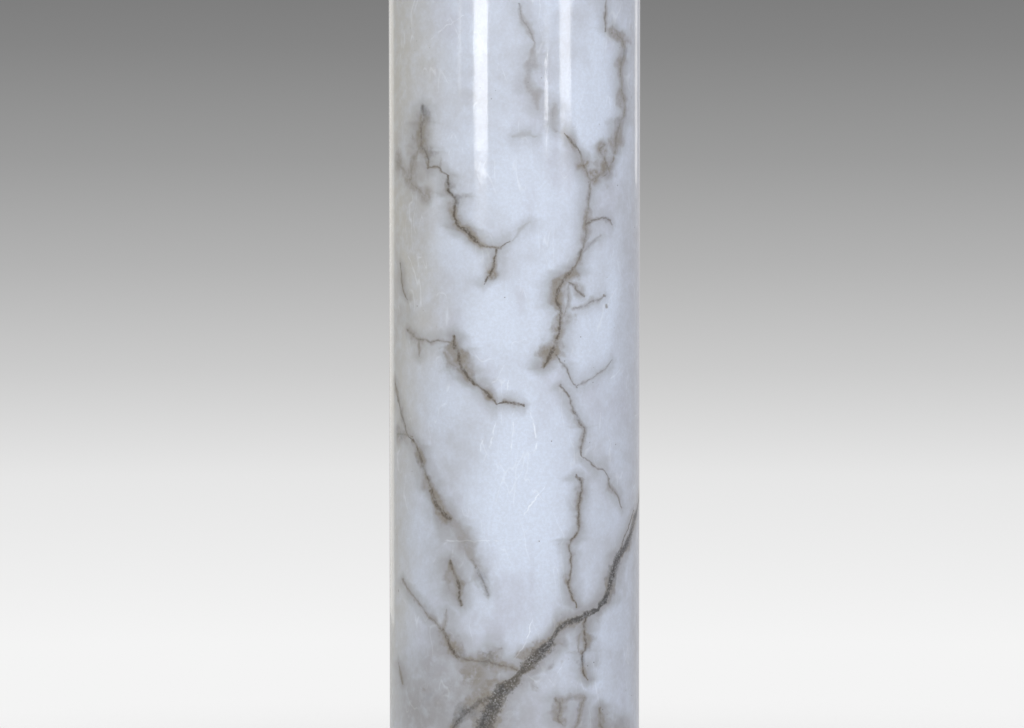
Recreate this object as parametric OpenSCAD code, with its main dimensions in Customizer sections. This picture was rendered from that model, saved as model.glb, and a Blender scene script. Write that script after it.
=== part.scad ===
// Baptismal font: a turned alabaster column on an octagonal plinth carries a lined basin
// with a drain, under a hinged brass dome with a cross. Millimetres, +Z up.
// The origin is on the floor at the column's axis, and the front of the font faces -Y.

/* [Column] */
// Diameter of the plain shaft
shaft_d = 200; // [190:1:210]
// Height of the shaft, with the flare at each end
shaft_h = 620; // [540:5:700]
// How far each end of the shaft flares out
flare = 11; // [8:1:13]
// Height of the capital between the shaft and the bowl
capital_h = 44; // [42:1:54]

/* [Foot] */
// Lower plinth slab, across its flats
plinth_w = 420; // [400:5:480]
// Height of the lower plinth slab
plinth_h = 45; // [40:1:60]
// Upper plinth slab, across its flats
step_w = 350; // [330:5:390]
// Height of the upper plinth slab
step_h = 35; // [30:1:50]
// Diameter of the turned base over its lower torus
base_d = 290; // [285:1:300]
// Height of the turned base
base_h = 76; // [74:1:84]

/* [Bowl] */
// Outer diameter of the bowl over its rim
bowl_d = 500; // [496:1:520]
// Height of the bowl from its seat to its rim
bowl_h = 172; // [168:1:190]
// Radius of the basin's mouth
mouth_r = 195; // [190:1:196]
// Thickness of the metal liner
liner_t = 1.5; // [1:0.5:2]

/* [Cover] */
// Outer radius of the dome's upright skirt
skirt_r = 212; // [208:1:214]
// Rise of the dome above its skirt
dome_rise = 78; // [60:1:100]
// Thickness of the spun dome
dome_t = 2; // [1.5:0.5:3]
// Height of the cross, from its foot to the top of its upper bud
cross_h = 98; // [80:1:120]
// Number of rivets around the skirt
rivet_count = 16; // [8:2:24]

/* [Fittings] */
// Outer diameter of the drain pipe
pipe_d = 28; // [26:1:28]
// Diameter of the dowels between the stones
dowel_d = 12; // [10:1:14]
// Wire diameter of the lifting ring
ring_wire = 5.6; // [4:0.2:6]
// Mean diameter of the lifting ring
ring_d = 40; // [34:1:46]

/* [Hidden] */
$fn = 96;

ALABASTER = [0.84, 0.86, 0.89];
BRASS = [0.76, 0.6, 0.3];
COPPER = [0.72, 0.42, 0.3];
LEAD = [0.36, 0.37, 0.39];
BRONZE = [0.5, 0.38, 0.22];
RUBBER = [0.08, 0.08, 0.08];
FELT = [0.2, 0.07, 0.08];

eps = 0.01;
run_gap = 0.05;              // radial clearance of a pin that turns in its bore

// Stone column: heights of each piece's underside.
bed_t = 1.5;                 // lead sheet between two stones
z_step = plinth_h + bed_t;
z_base = z_step + step_h + bed_t;
z_shaft = z_base + base_h + bed_t;
z_capital = z_shaft + shaft_h + bed_t;
z_bowl = z_capital + capital_h + bed_t;
z_rim = z_bowl + bowl_h;
shaft_r = shaft_d / 2;
fillet_r = shaft_r + flare;  // flat band that ends each flare
fillet_h = 8;
core_r = 25;                 // bore through the stones for the drain pipe
chamfer = 7;                 // top edge of each plinth slab

// Turned base: two tori with a scotia between them.
torus_lo = 15;
torus_hi = 10;
band_h = 4;                  // flat bands above and below the scotia
scotia_r = 17;

// Dowels.
dowel_l = 50;
capital_dowel_l = 36;        // shorter dowels, where two joints share the low capital
dowel_play = 0.5;
dowel_pcd = 130;
plinth_dowel_pcd = 220;

// Bowl, with heights above its seat.
bowl_r = bowl_d / 2;
foot_h = 8;                  // flat band under the bowl
foot_r = 128;
rim_torus = 16;
rim_band = 8;                // flat band above the rim's torus
rim_r = bowl_r - 4;          // outer edge of the rim's flat top
neck_h = 4;                  // recessed line under the rim's torus
basin_arc = 124;
basin_floor = bowl_h - basin_arc;
basin_well = 34;             // flat centre of the basin's floor
floor_fall = 2;
nut_recess_r = 42;
nut_recess_h = 22;
rebate_r = skirt_r;          // ledge around the mouth that holds the liner's lip
liner_gap = 0.5;

// Waste, with heights above the bowl's seat.
waste_z = basin_floor - floor_fall + liner_gap + liner_t + run_gap;
waste_flange_r = 32;
waste_flange_t = 3;
tail_r = 19;
tail_bottom = -16;
pipe_r = pipe_d / 2;
pipe_wall = 1.5;
bore_r = pipe_r + run_gap;   // bore above the grid, and socket for the pipe
throat_r = pipe_r - pipe_wall;
grid_z = waste_z - 18;
socket_z = 14;
washer_t = 3;
backnut_h = 8;
ferrule_r = 17;
ferrule_z = 8;               // lowest point of the drain above the floor
ferrule_l = 34;
seal_t = 1;
plug_head_r = 22;
plug_head_t = 3;
stem_r = 3.5;
stem_l = 22;
knob_r = 11;

// Cover, with heights above the rim.
felt_t = 1.5;
flange_t = 3;
flange_r = skirt_r + 12;
flange_top = felt_t + flange_t;
skirt_h = 18;
skirt_top = flange_top + skirt_h;
cover_band_h = 14;
cover_band_t = 3;
cover_band_r = skirt_r - dome_t - run_gap;
rivet_z = flange_top + 7.5;
dome_r = (skirt_r * skirt_r + dome_rise * dome_rise) / (2 * dome_rise);
crown = skirt_top + dome_rise;
bead = 3;                    // radius of the bead around the dome's foot
collar = 1.8;                // radius of the raised ring high on the dome
collar_at = 74;              // distance of that ring from the axis
stud_r = 4;
base_top = 17;               // top of the finial's base above the crown
ball_r = 18;
ball_z = base_top + 15;
cross_z = ball_z + 20;       // foot of the cross above the crown
cross_t = 9;
bar_w = 12;
bud_r = 8;
socket_h = 12;

// Lifting ring on the dome's front.
eye_at = 140;                // distance of the eye from the axis
eye_tilt = asin(eye_at / dome_r);
eye_h = 10;                  // centre of the eye above the dome's surface
eye_r = 6.5;
eye_wire = 5;
ring_droop = 12;             // how far the ring leans in to the dome, in degrees
eye_shank_r = 2.5;

// Hinge at the back of the rim.
hinge_y = flange_r + 7;
hinge_z = 9.5;
knuckle_r = 6;
pin_r = 2.5;
hinge_half = 36;             // half the length over the fixed knuckles
leaf_half = 56;              // half the bracket's length
strap_knuckle = 12.5;        // half the moving knuckle's length
strap_half = 30;
leaf_t = 3;
screw_turn = 11.5;           // angle of each bracket screw from the back of the rim
screw_at = (flange_r + rim_r + 1) / 2;
screw_r = 2.5;
screw_l = 26;
rivet_r = 1.6;
plug_r = 6.5;
plug_l = 30;

// Turn button on the front of the rim.
button_y = -(flange_r + 12);
button_z = flange_top + 0.5;
button_t = 4;
post_r = 4;

// Centre of the circle of radius r through a and b, to the right of the way from a to b,
// or to the left of it when side is -1.
function arc_centre(a, b, r, side = 1) =
    let (
        d = b - a,
        half = norm(d) / 2,
        n = [d.y, -d.x] / norm(d) * side
    )
    (a + b) / 2 + n * sqrt(r * r - half * half);

// Height of the dome's outer surface above the rim, at distance r from the axis.
function dome_z(r) = crown - dome_r + sqrt(dome_r * dome_r - r * r);

// Band of height h from the axis out to radius r, from height z up.
module band(r, z, h) {
    translate([0, z])
        square([r, h]);
}

// Half-round moulding of radius r whose outermost point is at radius out.
module torus_2d(out, z, r) {
    band(out - r, z, 2 * r);
    translate([out - r, z + r])
        circle(r);
}

module octagon_slab(across, h) {
    turned = 22.5;
    hull() {
        rotate(turned)
            cylinder(h = h - chamfer, r = across / 2 / cos(turned), $fn = 8);
        rotate(turned)
            cylinder(h = h, r = (across / 2 - chamfer) / cos(turned), $fn = 8);
    }
}

// The dowels at one joint, or with play the holes that take them.
module dowel_set(z, length = dowel_l, pcd = dowel_pcd, count = 3, play = 0) {
    for (i = [0 : count - 1])
        rotate(i * 360 / count + 30)
            translate([pcd / 2, 0, z - length / 2 - 2 * play])
                cylinder(h = length + 4 * play, d = dowel_d + 2 * play);
}

module plinth_dowel_set(play = 0) {
    dowel_set(z_step - bed_t / 2, pcd = plinth_dowel_pcd, count = 4, play = play);
}

module base_dowel_set(play = 0) {
    dowel_set(z_base - bed_t / 2, play = play);
}

module shaft_foot_dowel_set(play = 0) {
    dowel_set(z_shaft - bed_t / 2, play = play);
}

module shaft_head_dowel_set(play = 0) {
    dowel_set(z_capital - bed_t / 2, capital_dowel_l, play = play);
}

module bowl_dowel_set(play = 0) {
    dowel_set(z_bowl - bed_t / 2, capital_dowel_l, play = play);
}

module core_bore(z, h, r = core_r) {
    translate([0, 0, z - eps])
        cylinder(h = h + 2 * eps, r = r);
}

module rivet_head_2d() {
    head_r = 3;
    head_t = 1.6;
    polygon([[0, 0], [head_r, 0], [head_r * 0.6, head_t], [0, head_t]]);
}

// Lead sheet between two stones. Its children are the dowels' holes.
module lead_sheet(z, r) {
    color(LEAD)
        difference() {
            translate([0, 0, z])
                cylinder(h = bed_t, r = r);
            core_bore(z, bed_t);
            children();
        }
}

// ---- Stone ----

module plinth_lower() {
    outlet_r = 45;
    color(ALABASTER)
        difference() {
            octagon_slab(plinth_w, plinth_h);
            core_bore(0, plinth_h, outlet_r);
            plinth_dowel_set(dowel_play);
        }
}

module plinth_upper() {
    color(ALABASTER)
        difference() {
            translate([0, 0, z_step])
                octagon_slab(step_w, step_h);
            core_bore(z_step, step_h);
            plinth_dowel_set(dowel_play);
            base_dowel_set(dowel_play);
        }
}

module base_profile() {
    scotia_foot = base_d / 2 - torus_lo - 2;
    scotia_head = fillet_r + 4;
    z_foot = 2 * torus_lo + band_h;
    z_head = base_h - 2 * torus_hi - band_h;
    torus_2d(base_d / 2, 0, torus_lo);
    band(scotia_foot + 3, 2 * torus_lo, band_h);
    difference() {
        band(scotia_foot, z_foot, z_head - z_foot);
        translate(arc_centre([scotia_foot, z_foot], [scotia_head, z_head], scotia_r))
            circle(scotia_r);
    }
    band(scotia_head + 1, z_head, band_h);
    torus_2d(fillet_r + 7, z_head + band_h, torus_hi);
}

module base_moulding() {
    color(ALABASTER)
        difference() {
            translate([0, 0, z_base])
                rotate_extrude()
                    base_profile();
            core_bore(z_base, base_h);
            base_dowel_set(dowel_play);
            shaft_foot_dowel_set(dowel_play);
        }
}

// The shaft's outline: a plain cylinder that sweeps out to a flat band at each end.
module shaft_profile() {
    sweep = fillet_h + flare;
    difference() {
        band(fillet_r, 0, shaft_h);
        translate([shaft_r, sweep])
            square([flare + 1, shaft_h - 2 * sweep]);
        for (z = [sweep, shaft_h - sweep])
            translate([fillet_r, z])
                circle(flare);
    }
}

module shaft() {
    color(ALABASTER)
        difference() {
            translate([0, 0, z_shaft])
                rotate_extrude()
                    shaft_profile();
            core_bore(z_shaft, shaft_h);
            shaft_foot_dowel_set(dowel_play);
            shaft_head_dowel_set(dowel_play);
        }
}

module capital_profile() {
    astragal = 6;
    lip_h = 6;
    neck = [fillet_r - 5, 2 * astragal + band_h];
    lip = [foot_r + 12, capital_h - lip_h];
    echinus_r = 30;
    torus_2d(fillet_r + 5, 0, astragal);
    band(neck.x, 2 * astragal, band_h);
    intersection() {
        band(lip.x, neck.y, lip.y - neck.y);
        union() {
            band(neck.x - 8, neck.y, lip.y - neck.y);
            translate(arc_centre(neck, lip, echinus_r, -1))
                circle(echinus_r);
        }
    }
    band(lip.x + 3, lip.y, lip_h);
}

module capital() {
    color(ALABASTER)
        difference() {
            translate([0, 0, z_capital])
                rotate_extrude()
                    capital_profile();
            core_bore(z_capital, capital_h);
            shaft_head_dowel_set(dowel_play);
            bowl_dowel_set(dowel_play);
        }
}

module bowl_profile() {
    belly_top = bowl_h - rim_band - 2 * rim_torus - neck_h;
    belly = belly_top - foot_h;
    band(foot_r, 0, foot_h);
    intersection() {
        band(bowl_r, foot_h, belly);
        union() {
            band(bowl_r - 12 - belly, foot_h, belly);
            translate([bowl_r - 12 - belly, belly_top])
                circle(belly);
        }
    }
    band(bowl_r - rim_torus, belly_top, neck_h);
    torus_2d(bowl_r, belly_top + neck_h, rim_torus);
    band(rim_r, bowl_h - rim_band, rim_band);
}

// The basin's hollow, made smaller all round by inset.
module basin_2d(inset = 0) {
    arc = basin_arc - inset;
    spring = mouth_r - basin_arc;
    low = basin_floor - floor_fall + inset;
    above = bowl_h + 10;
    polygon([
        [0, low], [basin_well, low], [spring, basin_floor + inset],
        [spring + eps, above], [0, above],
    ]);
    intersection() {
        translate([spring, bowl_h])
            circle(arc);
        translate([spring - eps, 0])
            square([arc + 1, bowl_h]);
    }
    translate([0, bowl_h])
        square([spring + arc, above - bowl_h]);
}

module bowl() {
    color(ALABASTER)
        difference() {
            translate([0, 0, z_bowl])
                rotate_extrude()
                    difference() {
                        bowl_profile();
                        basin_2d();
                        band(rebate_r, bowl_h - liner_t - liner_gap, 20);
                        band(nut_recess_r, -eps, nut_recess_h + eps);
                        band(tail_r + 2, 0, basin_floor);
                    }
            bowl_dowel_set(dowel_play);
            screw_plug_set(play = 0.1);
        }
}

// ---- Lead sheets and dowels ----

module plinth_bed() {
    lead_sheet(plinth_h, step_w / 2 - 25)
        plinth_dowel_set(dowel_play);
}

module base_bed() {
    lead_sheet(z_step + step_h, base_d / 2 - torus_lo - 2)
        base_dowel_set(dowel_play);
}

module shaft_foot_bed() {
    lead_sheet(z_base + base_h, fillet_r - 4)
        shaft_foot_dowel_set(dowel_play);
}

module shaft_head_bed() {
    lead_sheet(z_shaft + shaft_h, fillet_r - 4)
        shaft_head_dowel_set(dowel_play);
}

module bowl_bed() {
    lead_sheet(z_capital + capital_h, foot_r - 4)
        bowl_dowel_set(dowel_play);
}

module plinth_dowels() {
    color(BRONZE)
        plinth_dowel_set();
}

module base_dowels() {
    color(BRONZE)
        base_dowel_set();
}

module shaft_foot_dowels() {
    color(BRONZE)
        shaft_foot_dowel_set();
}

module shaft_head_dowels() {
    color(BRONZE)
        shaft_head_dowel_set();
}

module bowl_dowels() {
    color(BRONZE)
        bowl_dowel_set();
}

// ---- Liner and drain ----

module liner() {
    lip_z = bowl_h - liner_t;
    color(COPPER)
        translate([0, 0, z_bowl])
            rotate_extrude()
                difference() {
                    union() {
                        intersection() {
                            basin_2d(liner_gap);
                            band(mouth_r, 0, bowl_h);
                        }
                        band(rebate_r - liner_gap, lip_z, liner_t);
                    }
                    basin_2d(liner_gap + liner_t);
                    band(tail_r + 1.5, 0, bowl_h);
                }
}

module waste_body() {
    seat_r = bore_r + 4;
    color(BRASS)
        translate([0, 0, z_bowl])
            rotate_extrude()
                difference() {
                    union() {
                        band(waste_flange_r, waste_z, waste_flange_t);
                        band(tail_r, tail_bottom, waste_z - tail_bottom);
                    }
                    band(bore_r, tail_bottom - eps, socket_z - tail_bottom);
                    band(throat_r, socket_z - 1, grid_z - socket_z + 1);
                    band(bore_r, grid_z, waste_z - grid_z + 10);
                    polygon([
                        [0, waste_z - 1], [bore_r, waste_z - 1],
                        [seat_r, waste_z + waste_flange_t + eps],
                        [0, waste_z + waste_flange_t + eps],
                    ]);
                }
}

module waste_grid() {
    grid_t = 1.5;
    hole_r = 2.6;
    holes = 6;
    color(BRASS)
        translate([0, 0, z_bowl + grid_z + run_gap])
            difference() {
                cylinder(h = grid_t, r = bore_r - 0.1);
                for (i = [0 : holes - 1])
                    rotate(i * 360 / holes)
                        translate([bore_r * 0.6, 0, -1])
                            cylinder(h = grid_t + 2, r = hole_r);
                translate([0, 0, -1])
                    cylinder(h = grid_t + 2, r = hole_r);
            }
}

module waste_washer() {
    color(RUBBER)
        translate([0, 0, z_bowl + nut_recess_h - washer_t])
            difference() {
                cylinder(h = washer_t, r = nut_recess_r - 6);
                translate([0, 0, -1])
                    cylinder(h = washer_t + 2, r = tail_r + run_gap);
            }
}

module waste_backnut() {
    across_corners = 68;
    color(BRASS)
        translate([0, 0, z_bowl + nut_recess_h - washer_t - backnut_h])
            difference() {
                cylinder(h = backnut_h, d = across_corners, $fn = 6);
                translate([0, 0, -1])
                    cylinder(h = backnut_h + 2, r = tail_r + run_gap);
            }
}

module drain_pipe() {
    low = ferrule_z + ferrule_l / 2;
    high = z_bowl + socket_z - 1;
    color(COPPER)
        translate([0, 0, low])
            difference() {
                cylinder(h = high - low, r = pipe_r);
                translate([0, 0, -1])
                    cylinder(h = high - low + 2, r = throat_r);
            }
}

module drain_ferrule() {
    color(BRASS)
        translate([0, 0, ferrule_z])
            difference() {
                cylinder(h = ferrule_l, r = ferrule_r);
                translate([0, 0, -1])
                    cylinder(h = ferrule_l + 2, r = throat_r);
                translate([0, 0, ferrule_l / 2 - run_gap])
                    cylinder(h = ferrule_l, r = bore_r);
            }
}

plug_seat = waste_z + waste_flange_t + run_gap;
stem_foot = plug_seat + seal_t + plug_head_t;

module drain_plug() {
    guide = 12;
    guide_r = bore_r - 0.6;
    color(BRASS)
        translate([0, 0, z_bowl])
            rotate_extrude() {
                band(guide_r, plug_seat - guide, guide + seal_t + 1);
                band(plug_head_r, plug_seat + seal_t, plug_head_t);
                band(stem_r + 3, stem_foot - 1, 3);
                band(stem_r, stem_foot - 1, stem_l + 1);
                band(stem_r - 0.6, stem_foot, stem_l + knob_r);
            }
}

module plug_seal() {
    color(RUBBER)
        translate([0, 0, z_bowl + plug_seat])
            difference() {
                cylinder(h = seal_t - run_gap, r = plug_head_r);
                translate([0, 0, -1])
                    cylinder(h = seal_t + 2, r = bore_r - 0.5);
            }
}

module plug_knob() {
    color(BRASS)
        translate([0, 0, z_bowl + stem_foot + stem_l + run_gap])
            difference() {
                translate([0, 0, knob_r - 1])
                    intersection() {
                        sphere(knob_r);
                        translate([0, 0, 1])
                            cube(2 * knob_r, center = true);
                    }
                translate([0, 0, -1])
                    cylinder(h = knob_r + 2, r = stem_r - 0.6 + run_gap);
            }
}

// ---- Cover ----

// Solid outline of the dome and its skirt, made smaller by inset.
module dome_2d(inset = 0, foot = flange_top) {
    intersection() {
        translate([0, crown - dome_r])
            circle(dome_r - inset, $fn = 256);
        band(skirt_r - inset, foot, crown);
    }
}

// Puts its children on the dome's front with +Z along the dome's normal there.
module on_dome_front() {
    translate([0, -eye_at, z_rim + dome_z(eye_at)])
        rotate([eye_tilt, 0, 0])
            children();
}

// Puts a child in each rivet's place, with +Z pointing outwards through the skirt.
module at_rivets(from) {
    for (i = [0 : rivet_count - 1])
        rotate((i + 0.5) * 360 / rivet_count)
            translate([from, 0, z_rim + rivet_z])
                rotate([0, 90, 0])
                    children();
}

module rivet_holes() {
    at_rivets(skirt_r - 10)
        cylinder(h = 20, r = rivet_r + run_gap);
}

module cover_dome() {
    color(BRASS)
        difference() {
            translate([0, 0, z_rim])
                rotate_extrude()
                    union() {
                        difference() {
                            dome_2d();
                            dome_2d(dome_t, flange_top - 1);
                        }
                        translate([skirt_r - 1, skirt_top])
                            circle(bead);
                        translate([collar_at, dome_z(collar_at)])
                            circle(collar);
                    }
            translate([0, 0, z_rim + crown - 10])
                cylinder(h = 20, r = stud_r + 0.2);
            on_dome_front()
                translate([0, 0, -10])
                    cylinder(h = 20, r = eye_shank_r + 0.2);
            rivet_holes();
        }
}

module cover_flange() {
    color(BRASS)
        difference() {
            translate([0, 0, z_rim + felt_t])
                difference() {
                    cylinder(h = flange_t, r = flange_r);
                    translate([0, 0, -1])
                        cylinder(h = flange_t + 2, r = cover_band_r - cover_band_t);
                }
            strap_rivet_holes();
        }
}

module cover_band() {
    color(BRASS)
        difference() {
            translate([0, 0, z_rim + flange_top])
                difference() {
                    cylinder(h = cover_band_h, r = cover_band_r);
                    translate([0, 0, -1])
                        cylinder(h = cover_band_h + 2, r = cover_band_r - cover_band_t);
                }
            rivet_holes();
        }
}

module cover_rivets() {
    tail_t = 0.8;
    grip = dome_t + run_gap + cover_band_t;
    color(BRASS)
        at_rivets(skirt_r - grip - run_gap)
            rotate_extrude($fn = 32) {
                band(rivet_r + 0.8, -tail_t, tail_t);
                band(rivet_r, 0, grip + 1);
                translate([0, grip + 2 * run_gap])
                    rivet_head_2d();
            }
}

module cover_felt() {
    color(FELT)
        translate([0, 0, z_rim])
            difference() {
                cylinder(h = felt_t, r = flange_r - 0.5);
                translate([0, 0, -1])
                    cylinder(h = felt_t + 2, r = rebate_r + 1);
            }
}

module finial_base() {
    foot_r = 30;
    neck = [13, base_top - 4];
    sweep = 16;
    color(BRASS)
        difference() {
            translate([0, 0, z_rim + crown])
                rotate_extrude() {
                    band(foot_r, -3, 7);
                    difference() {
                        band(foot_r - 4, 4, neck.y - 4);
                        translate(arc_centre([foot_r - 4, 4], neck, sweep))
                            circle(sweep);
                    }
                    band(neck.x + 3, neck.y, base_top - neck.y);
                }
            translate([0, 0, z_rim + crown - dome_r])
                sphere(dome_r + run_gap, $fn = 256);
            translate([0, 0, z_rim + crown - 10])
                cylinder(h = 60, r = stud_r + run_gap);
        }
}

module finial_ball() {
    collar_r = 9;
    color(BRASS)
        translate([0, 0, z_rim + crown])
            rotate_extrude()
                difference() {
                    union() {
                        intersection() {
                            translate([0, ball_z])
                                circle(ball_r);
                            band(ball_r, base_top + run_gap, 60);
                        }
                        band(collar_r, ball_z + ball_r - 4, cross_z - ball_z - ball_r + 4 - run_gap);
                    }
                    translate([-ball_r * 2, 0])
                        square([ball_r * 2, 100]);
                    band(stud_r + run_gap, 0, 100);
                }
}

module finial_cross() {
    arm_z = cross_h * 0.62;
    arm = cross_h * 0.28;
    color(BRASS)
        translate([0, 0, z_rim + crown + cross_z])
            difference() {
                union() {
                    cylinder(h = socket_h, r = 9);
                    rotate([90, 0, 0])
                        translate([0, 0, -cross_t / 2])
                            linear_extrude(cross_t) {
                                translate([-bar_w / 2, socket_h / 2])
                                    square([bar_w, cross_h - bud_r - socket_h / 2]);
                                translate([-arm, arm_z - bar_w / 2])
                                    square([2 * arm, bar_w]);
                                translate([0, cross_h - bud_r])
                                    circle(bud_r);
                                for (side = [-1, 1])
                                    translate([side * arm, arm_z])
                                        circle(bud_r);
                            }
                    translate([0, cross_t / 2 + 2, arm_z])
                        rotate([90, 0, 0])
                            cylinder(h = cross_t + 4, r = bar_w * 0.75);
                }
                translate([0, 0, -1])
                    cylinder(h = socket_h - 2, r = stud_r + run_gap);
            }
}

stud_washer_t = 2;
washer_z = crown - dome_t - 0.5 - stud_washer_t;

module finial_stud() {
    low = washer_z - 9;
    color(BRASS)
        translate([0, 0, z_rim + low])
            cylinder(h = crown + cross_z + socket_h - 4 - low, r = stud_r);
}

module finial_washer() {
    washer_r = 14;
    color(BRASS)
        translate([0, 0, z_rim + washer_z])
            difference() {
                cylinder(h = stud_washer_t, r = washer_r);
                translate([0, 0, -1])
                    cylinder(h = stud_washer_t + 2, r = stud_r + 0.2);
            }
}

module finial_nut() {
    nut_h = 6.5;
    across_corners = 15;
    color(BRASS)
        translate([0, 0, z_rim + washer_z - nut_h - run_gap])
            difference() {
                cylinder(h = nut_h, d = across_corners, $fn = 6);
                translate([0, 0, -1])
                    cylinder(h = nut_h + 2, r = stud_r + run_gap);
            }
}

// ---- Lifting ring ----

module lift_ring() {
    color(BRASS)
        on_dome_front()
            translate([0, 0, eye_h])
                rotate([ring_droop, 0, 0])
                    translate([0, -ring_d / 2, 0])
                        rotate_extrude()
                            translate([ring_d / 2, 0])
                                circle(d = ring_wire, $fn = 32);
}

module ring_eye() {
    foot_r = 8;
    foot_t = 2;
    neck_r = 3.6;
    neck_h = 4.6;
    shank_l = 9;
    color(BRASS)
        on_dome_front() {
            translate([0, 0, run_gap])
                cylinder(h = foot_t, r = foot_r);
            translate([0, 0, foot_t / 2])
                cylinder(h = neck_h - foot_t / 2, r = neck_r);
            translate([0, 0, -shank_l])
                cylinder(h = shank_l + foot_t, r = eye_shank_r);
            translate([0, 0, eye_h])
                rotate([0, 90, 0])
                    rotate_extrude()
                        translate([eye_r, 0])
                            circle(d = eye_wire, $fn = 32);
        }
}

module ring_eye_nut() {
    nut_h = 4;
    across_corners = 10;
    color(BRASS)
        on_dome_front()
            translate([0, 0, -dome_t - 0.3 - nut_h])
                difference() {
                    cylinder(h = nut_h, d = across_corners, $fn = 6);
                    translate([0, 0, -1])
                        cylinder(h = nut_h + 2, r = eye_shank_r + run_gap);
                }
}

// ---- Hinge ----

// Slice of a flat ring, up to half wide on each side of the back of the rim.
module ring_slice(r_in, r_out, half, z, t) {
    translate([0, 0, z_rim + z])
        intersection() {
            difference() {
                cylinder(h = t, r = r_out);
                translate([0, 0, -1])
                    cylinder(h = t + 2, r = r_in);
            }
            translate([-half, r_in / 2, -1])
                cube([2 * half, r_out, t + 2]);
        }
}

// Barrel on the hinge's axis, from x0 to x1.
module barrel(x0, x1, r) {
    translate([x0, hinge_y, z_rim + hinge_z])
        rotate([0, 90, 0])
            cylinder(h = x1 - x0, r = r);
}

module hinge_bracket() {
    inner = strap_knuckle + 0.5;
    color(BRASS)
        difference() {
            union() {
                ring_slice(flange_r + 2, rim_r - 1, leaf_half, 0, leaf_t);
                for (x0 = [-hinge_half, inner]) {
                    barrel(x0, x0 + hinge_half - inner, knuckle_r);
                    translate([x0, hinge_y - knuckle_r + 0.5, z_rim])
                        cube([hinge_half - inner, 2 * knuckle_r - 1, hinge_z]);
                }
            }
            barrel(-hinge_half - 1, hinge_half + 1, pin_r + run_gap);
            bracket_screw_set(play = 0.1);
        }
}

// Places its children where the bracket is screwed to the rim.
module at_bracket_screws() {
    for (side = [-1, 1])
        rotate(side * screw_turn)
            translate([0, screw_at, z_rim])
                children();
}

// The bracket's countersunk screws, or with play their holes.
module bracket_screw_set(play = 0) {
    head_r = 4.6;
    head_t = 2.4;
    above = play > 0 ? 10 : 0;
    at_bracket_screws()
        translate([0, 0, leaf_t])
            rotate_extrude($fn = 32) {
                band(screw_r + play, -screw_l - play, screw_l + play);
                polygon([
                    [0, -head_t - play], [screw_r + play, -head_t - play],
                    [head_r + play, -0.1], [head_r + play, above], [0, above],
                ]);
            }
}

module hinge_strap() {
    color(BRASS)
        difference() {
            union() {
                ring_slice(skirt_r + 0.4, flange_r - 0.2, strap_half, flange_top, leaf_t);
                barrel(-strap_knuckle, strap_knuckle, knuckle_r);
                translate([-strap_knuckle, skirt_r + 3, z_rim + flange_top])
                    cube([2 * strap_knuckle, hinge_y - skirt_r - 3, leaf_t]);
            }
            barrel(-strap_knuckle - 1, strap_knuckle + 1, pin_r + run_gap);
            strap_rivet_holes();
        }
}

module hinge_pin() {
    cap_r = 4.5;
    cap_t = 3;
    color(BRASS) {
        barrel(-hinge_half - 0.5, hinge_half + 0.5, pin_r);
        barrel(-hinge_half - 0.5 - cap_t, -hinge_half - 0.5, cap_r);
        barrel(hinge_half + 0.5, hinge_half + 0.5 + cap_t, cap_r);
    }
}

module bracket_screws() {
    color(BRASS)
        bracket_screw_set();
}

// Places its children where the strap is riveted to the cover's ring.
module at_strap_rivets() {
    at_r = (skirt_r + flange_r) / 2;
    for (turn = [-6, 0, 6])
        rotate(turn)
            translate([0, at_r, z_rim + felt_t])
                children();
}

module strap_rivet_holes() {
    at_strap_rivets()
        translate([0, 0, -1])
            cylinder(h = 20, r = rivet_r + run_gap);
}

module strap_rivets() {
    grip = flange_t + leaf_t;
    color(BRASS)
        at_strap_rivets()
            rotate_extrude($fn = 32) {
                band(rivet_r, 0, grip + 0.5);
                translate([0, grip + run_gap])
                    rivet_head_2d();
            }
}

// ---- Turn button ----

module turn_button() {
    reach = 19;
    tongue_w = 12;
    hub_r = 9;
    tab_at = 14;
    tab_w = 8;
    tab_r = 6;
    grip_r = 4;
    grip_h = 3;
    color(BRASS)
        translate([0, button_y, z_rim + button_z])
            difference() {
                union() {
                    linear_extrude(button_t) {
                        circle(hub_r);
                        translate([0, -tongue_w / 2])
                            square([reach - tongue_w / 2, tongue_w]);
                        translate([reach - tongue_w / 2, 0])
                            circle(d = tongue_w);
                        translate([-tab_at, -tab_w / 2])
                            square([tab_at, tab_w]);
                        translate([-tab_at, 0])
                            circle(tab_r);
                    }
                    translate([-tab_at, 0, 0])
                        cylinder(h = button_t + grip_h, r = grip_r);
                }
                translate([0, 0, -1])
                    cylinder(h = button_t + 2, r = post_r + run_gap);
            }
}

module button_post() {
    head_r = 7;
    head_t = 3;
    color(BRASS)
        translate([0, button_y, z_rim])
            rotate_extrude() {
                band(post_r - 1, -plug_l + 4, plug_l);
                band(post_r, run_gap, button_z + button_t + run_gap);
                band(head_r, button_z + button_t + 0.1, head_t);
            }
}

module button_spacer() {
    spacer_r = 8;
    color(BRASS)
        translate([0, button_y, z_rim + run_gap])
            difference() {
                cylinder(h = button_z - 2 * run_gap, r = spacer_r);
                translate([0, 0, -1])
                    cylinder(h = button_z + 2, r = post_r + run_gap);
            }
}

// Lead plugs that hold the screws in the stone rim, or with play their holes.
module screw_plug_set(play = 0) {
    top = play > 0 ? 1 : -0.1;
    at_bracket_screws()
        translate([0, 0, -plug_l - play])
            cylinder(h = plug_l + play + top, r = plug_r + play);
    translate([0, button_y, z_rim - plug_l - play])
        cylinder(h = plug_l + play + top, r = plug_r + play);
}

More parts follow.
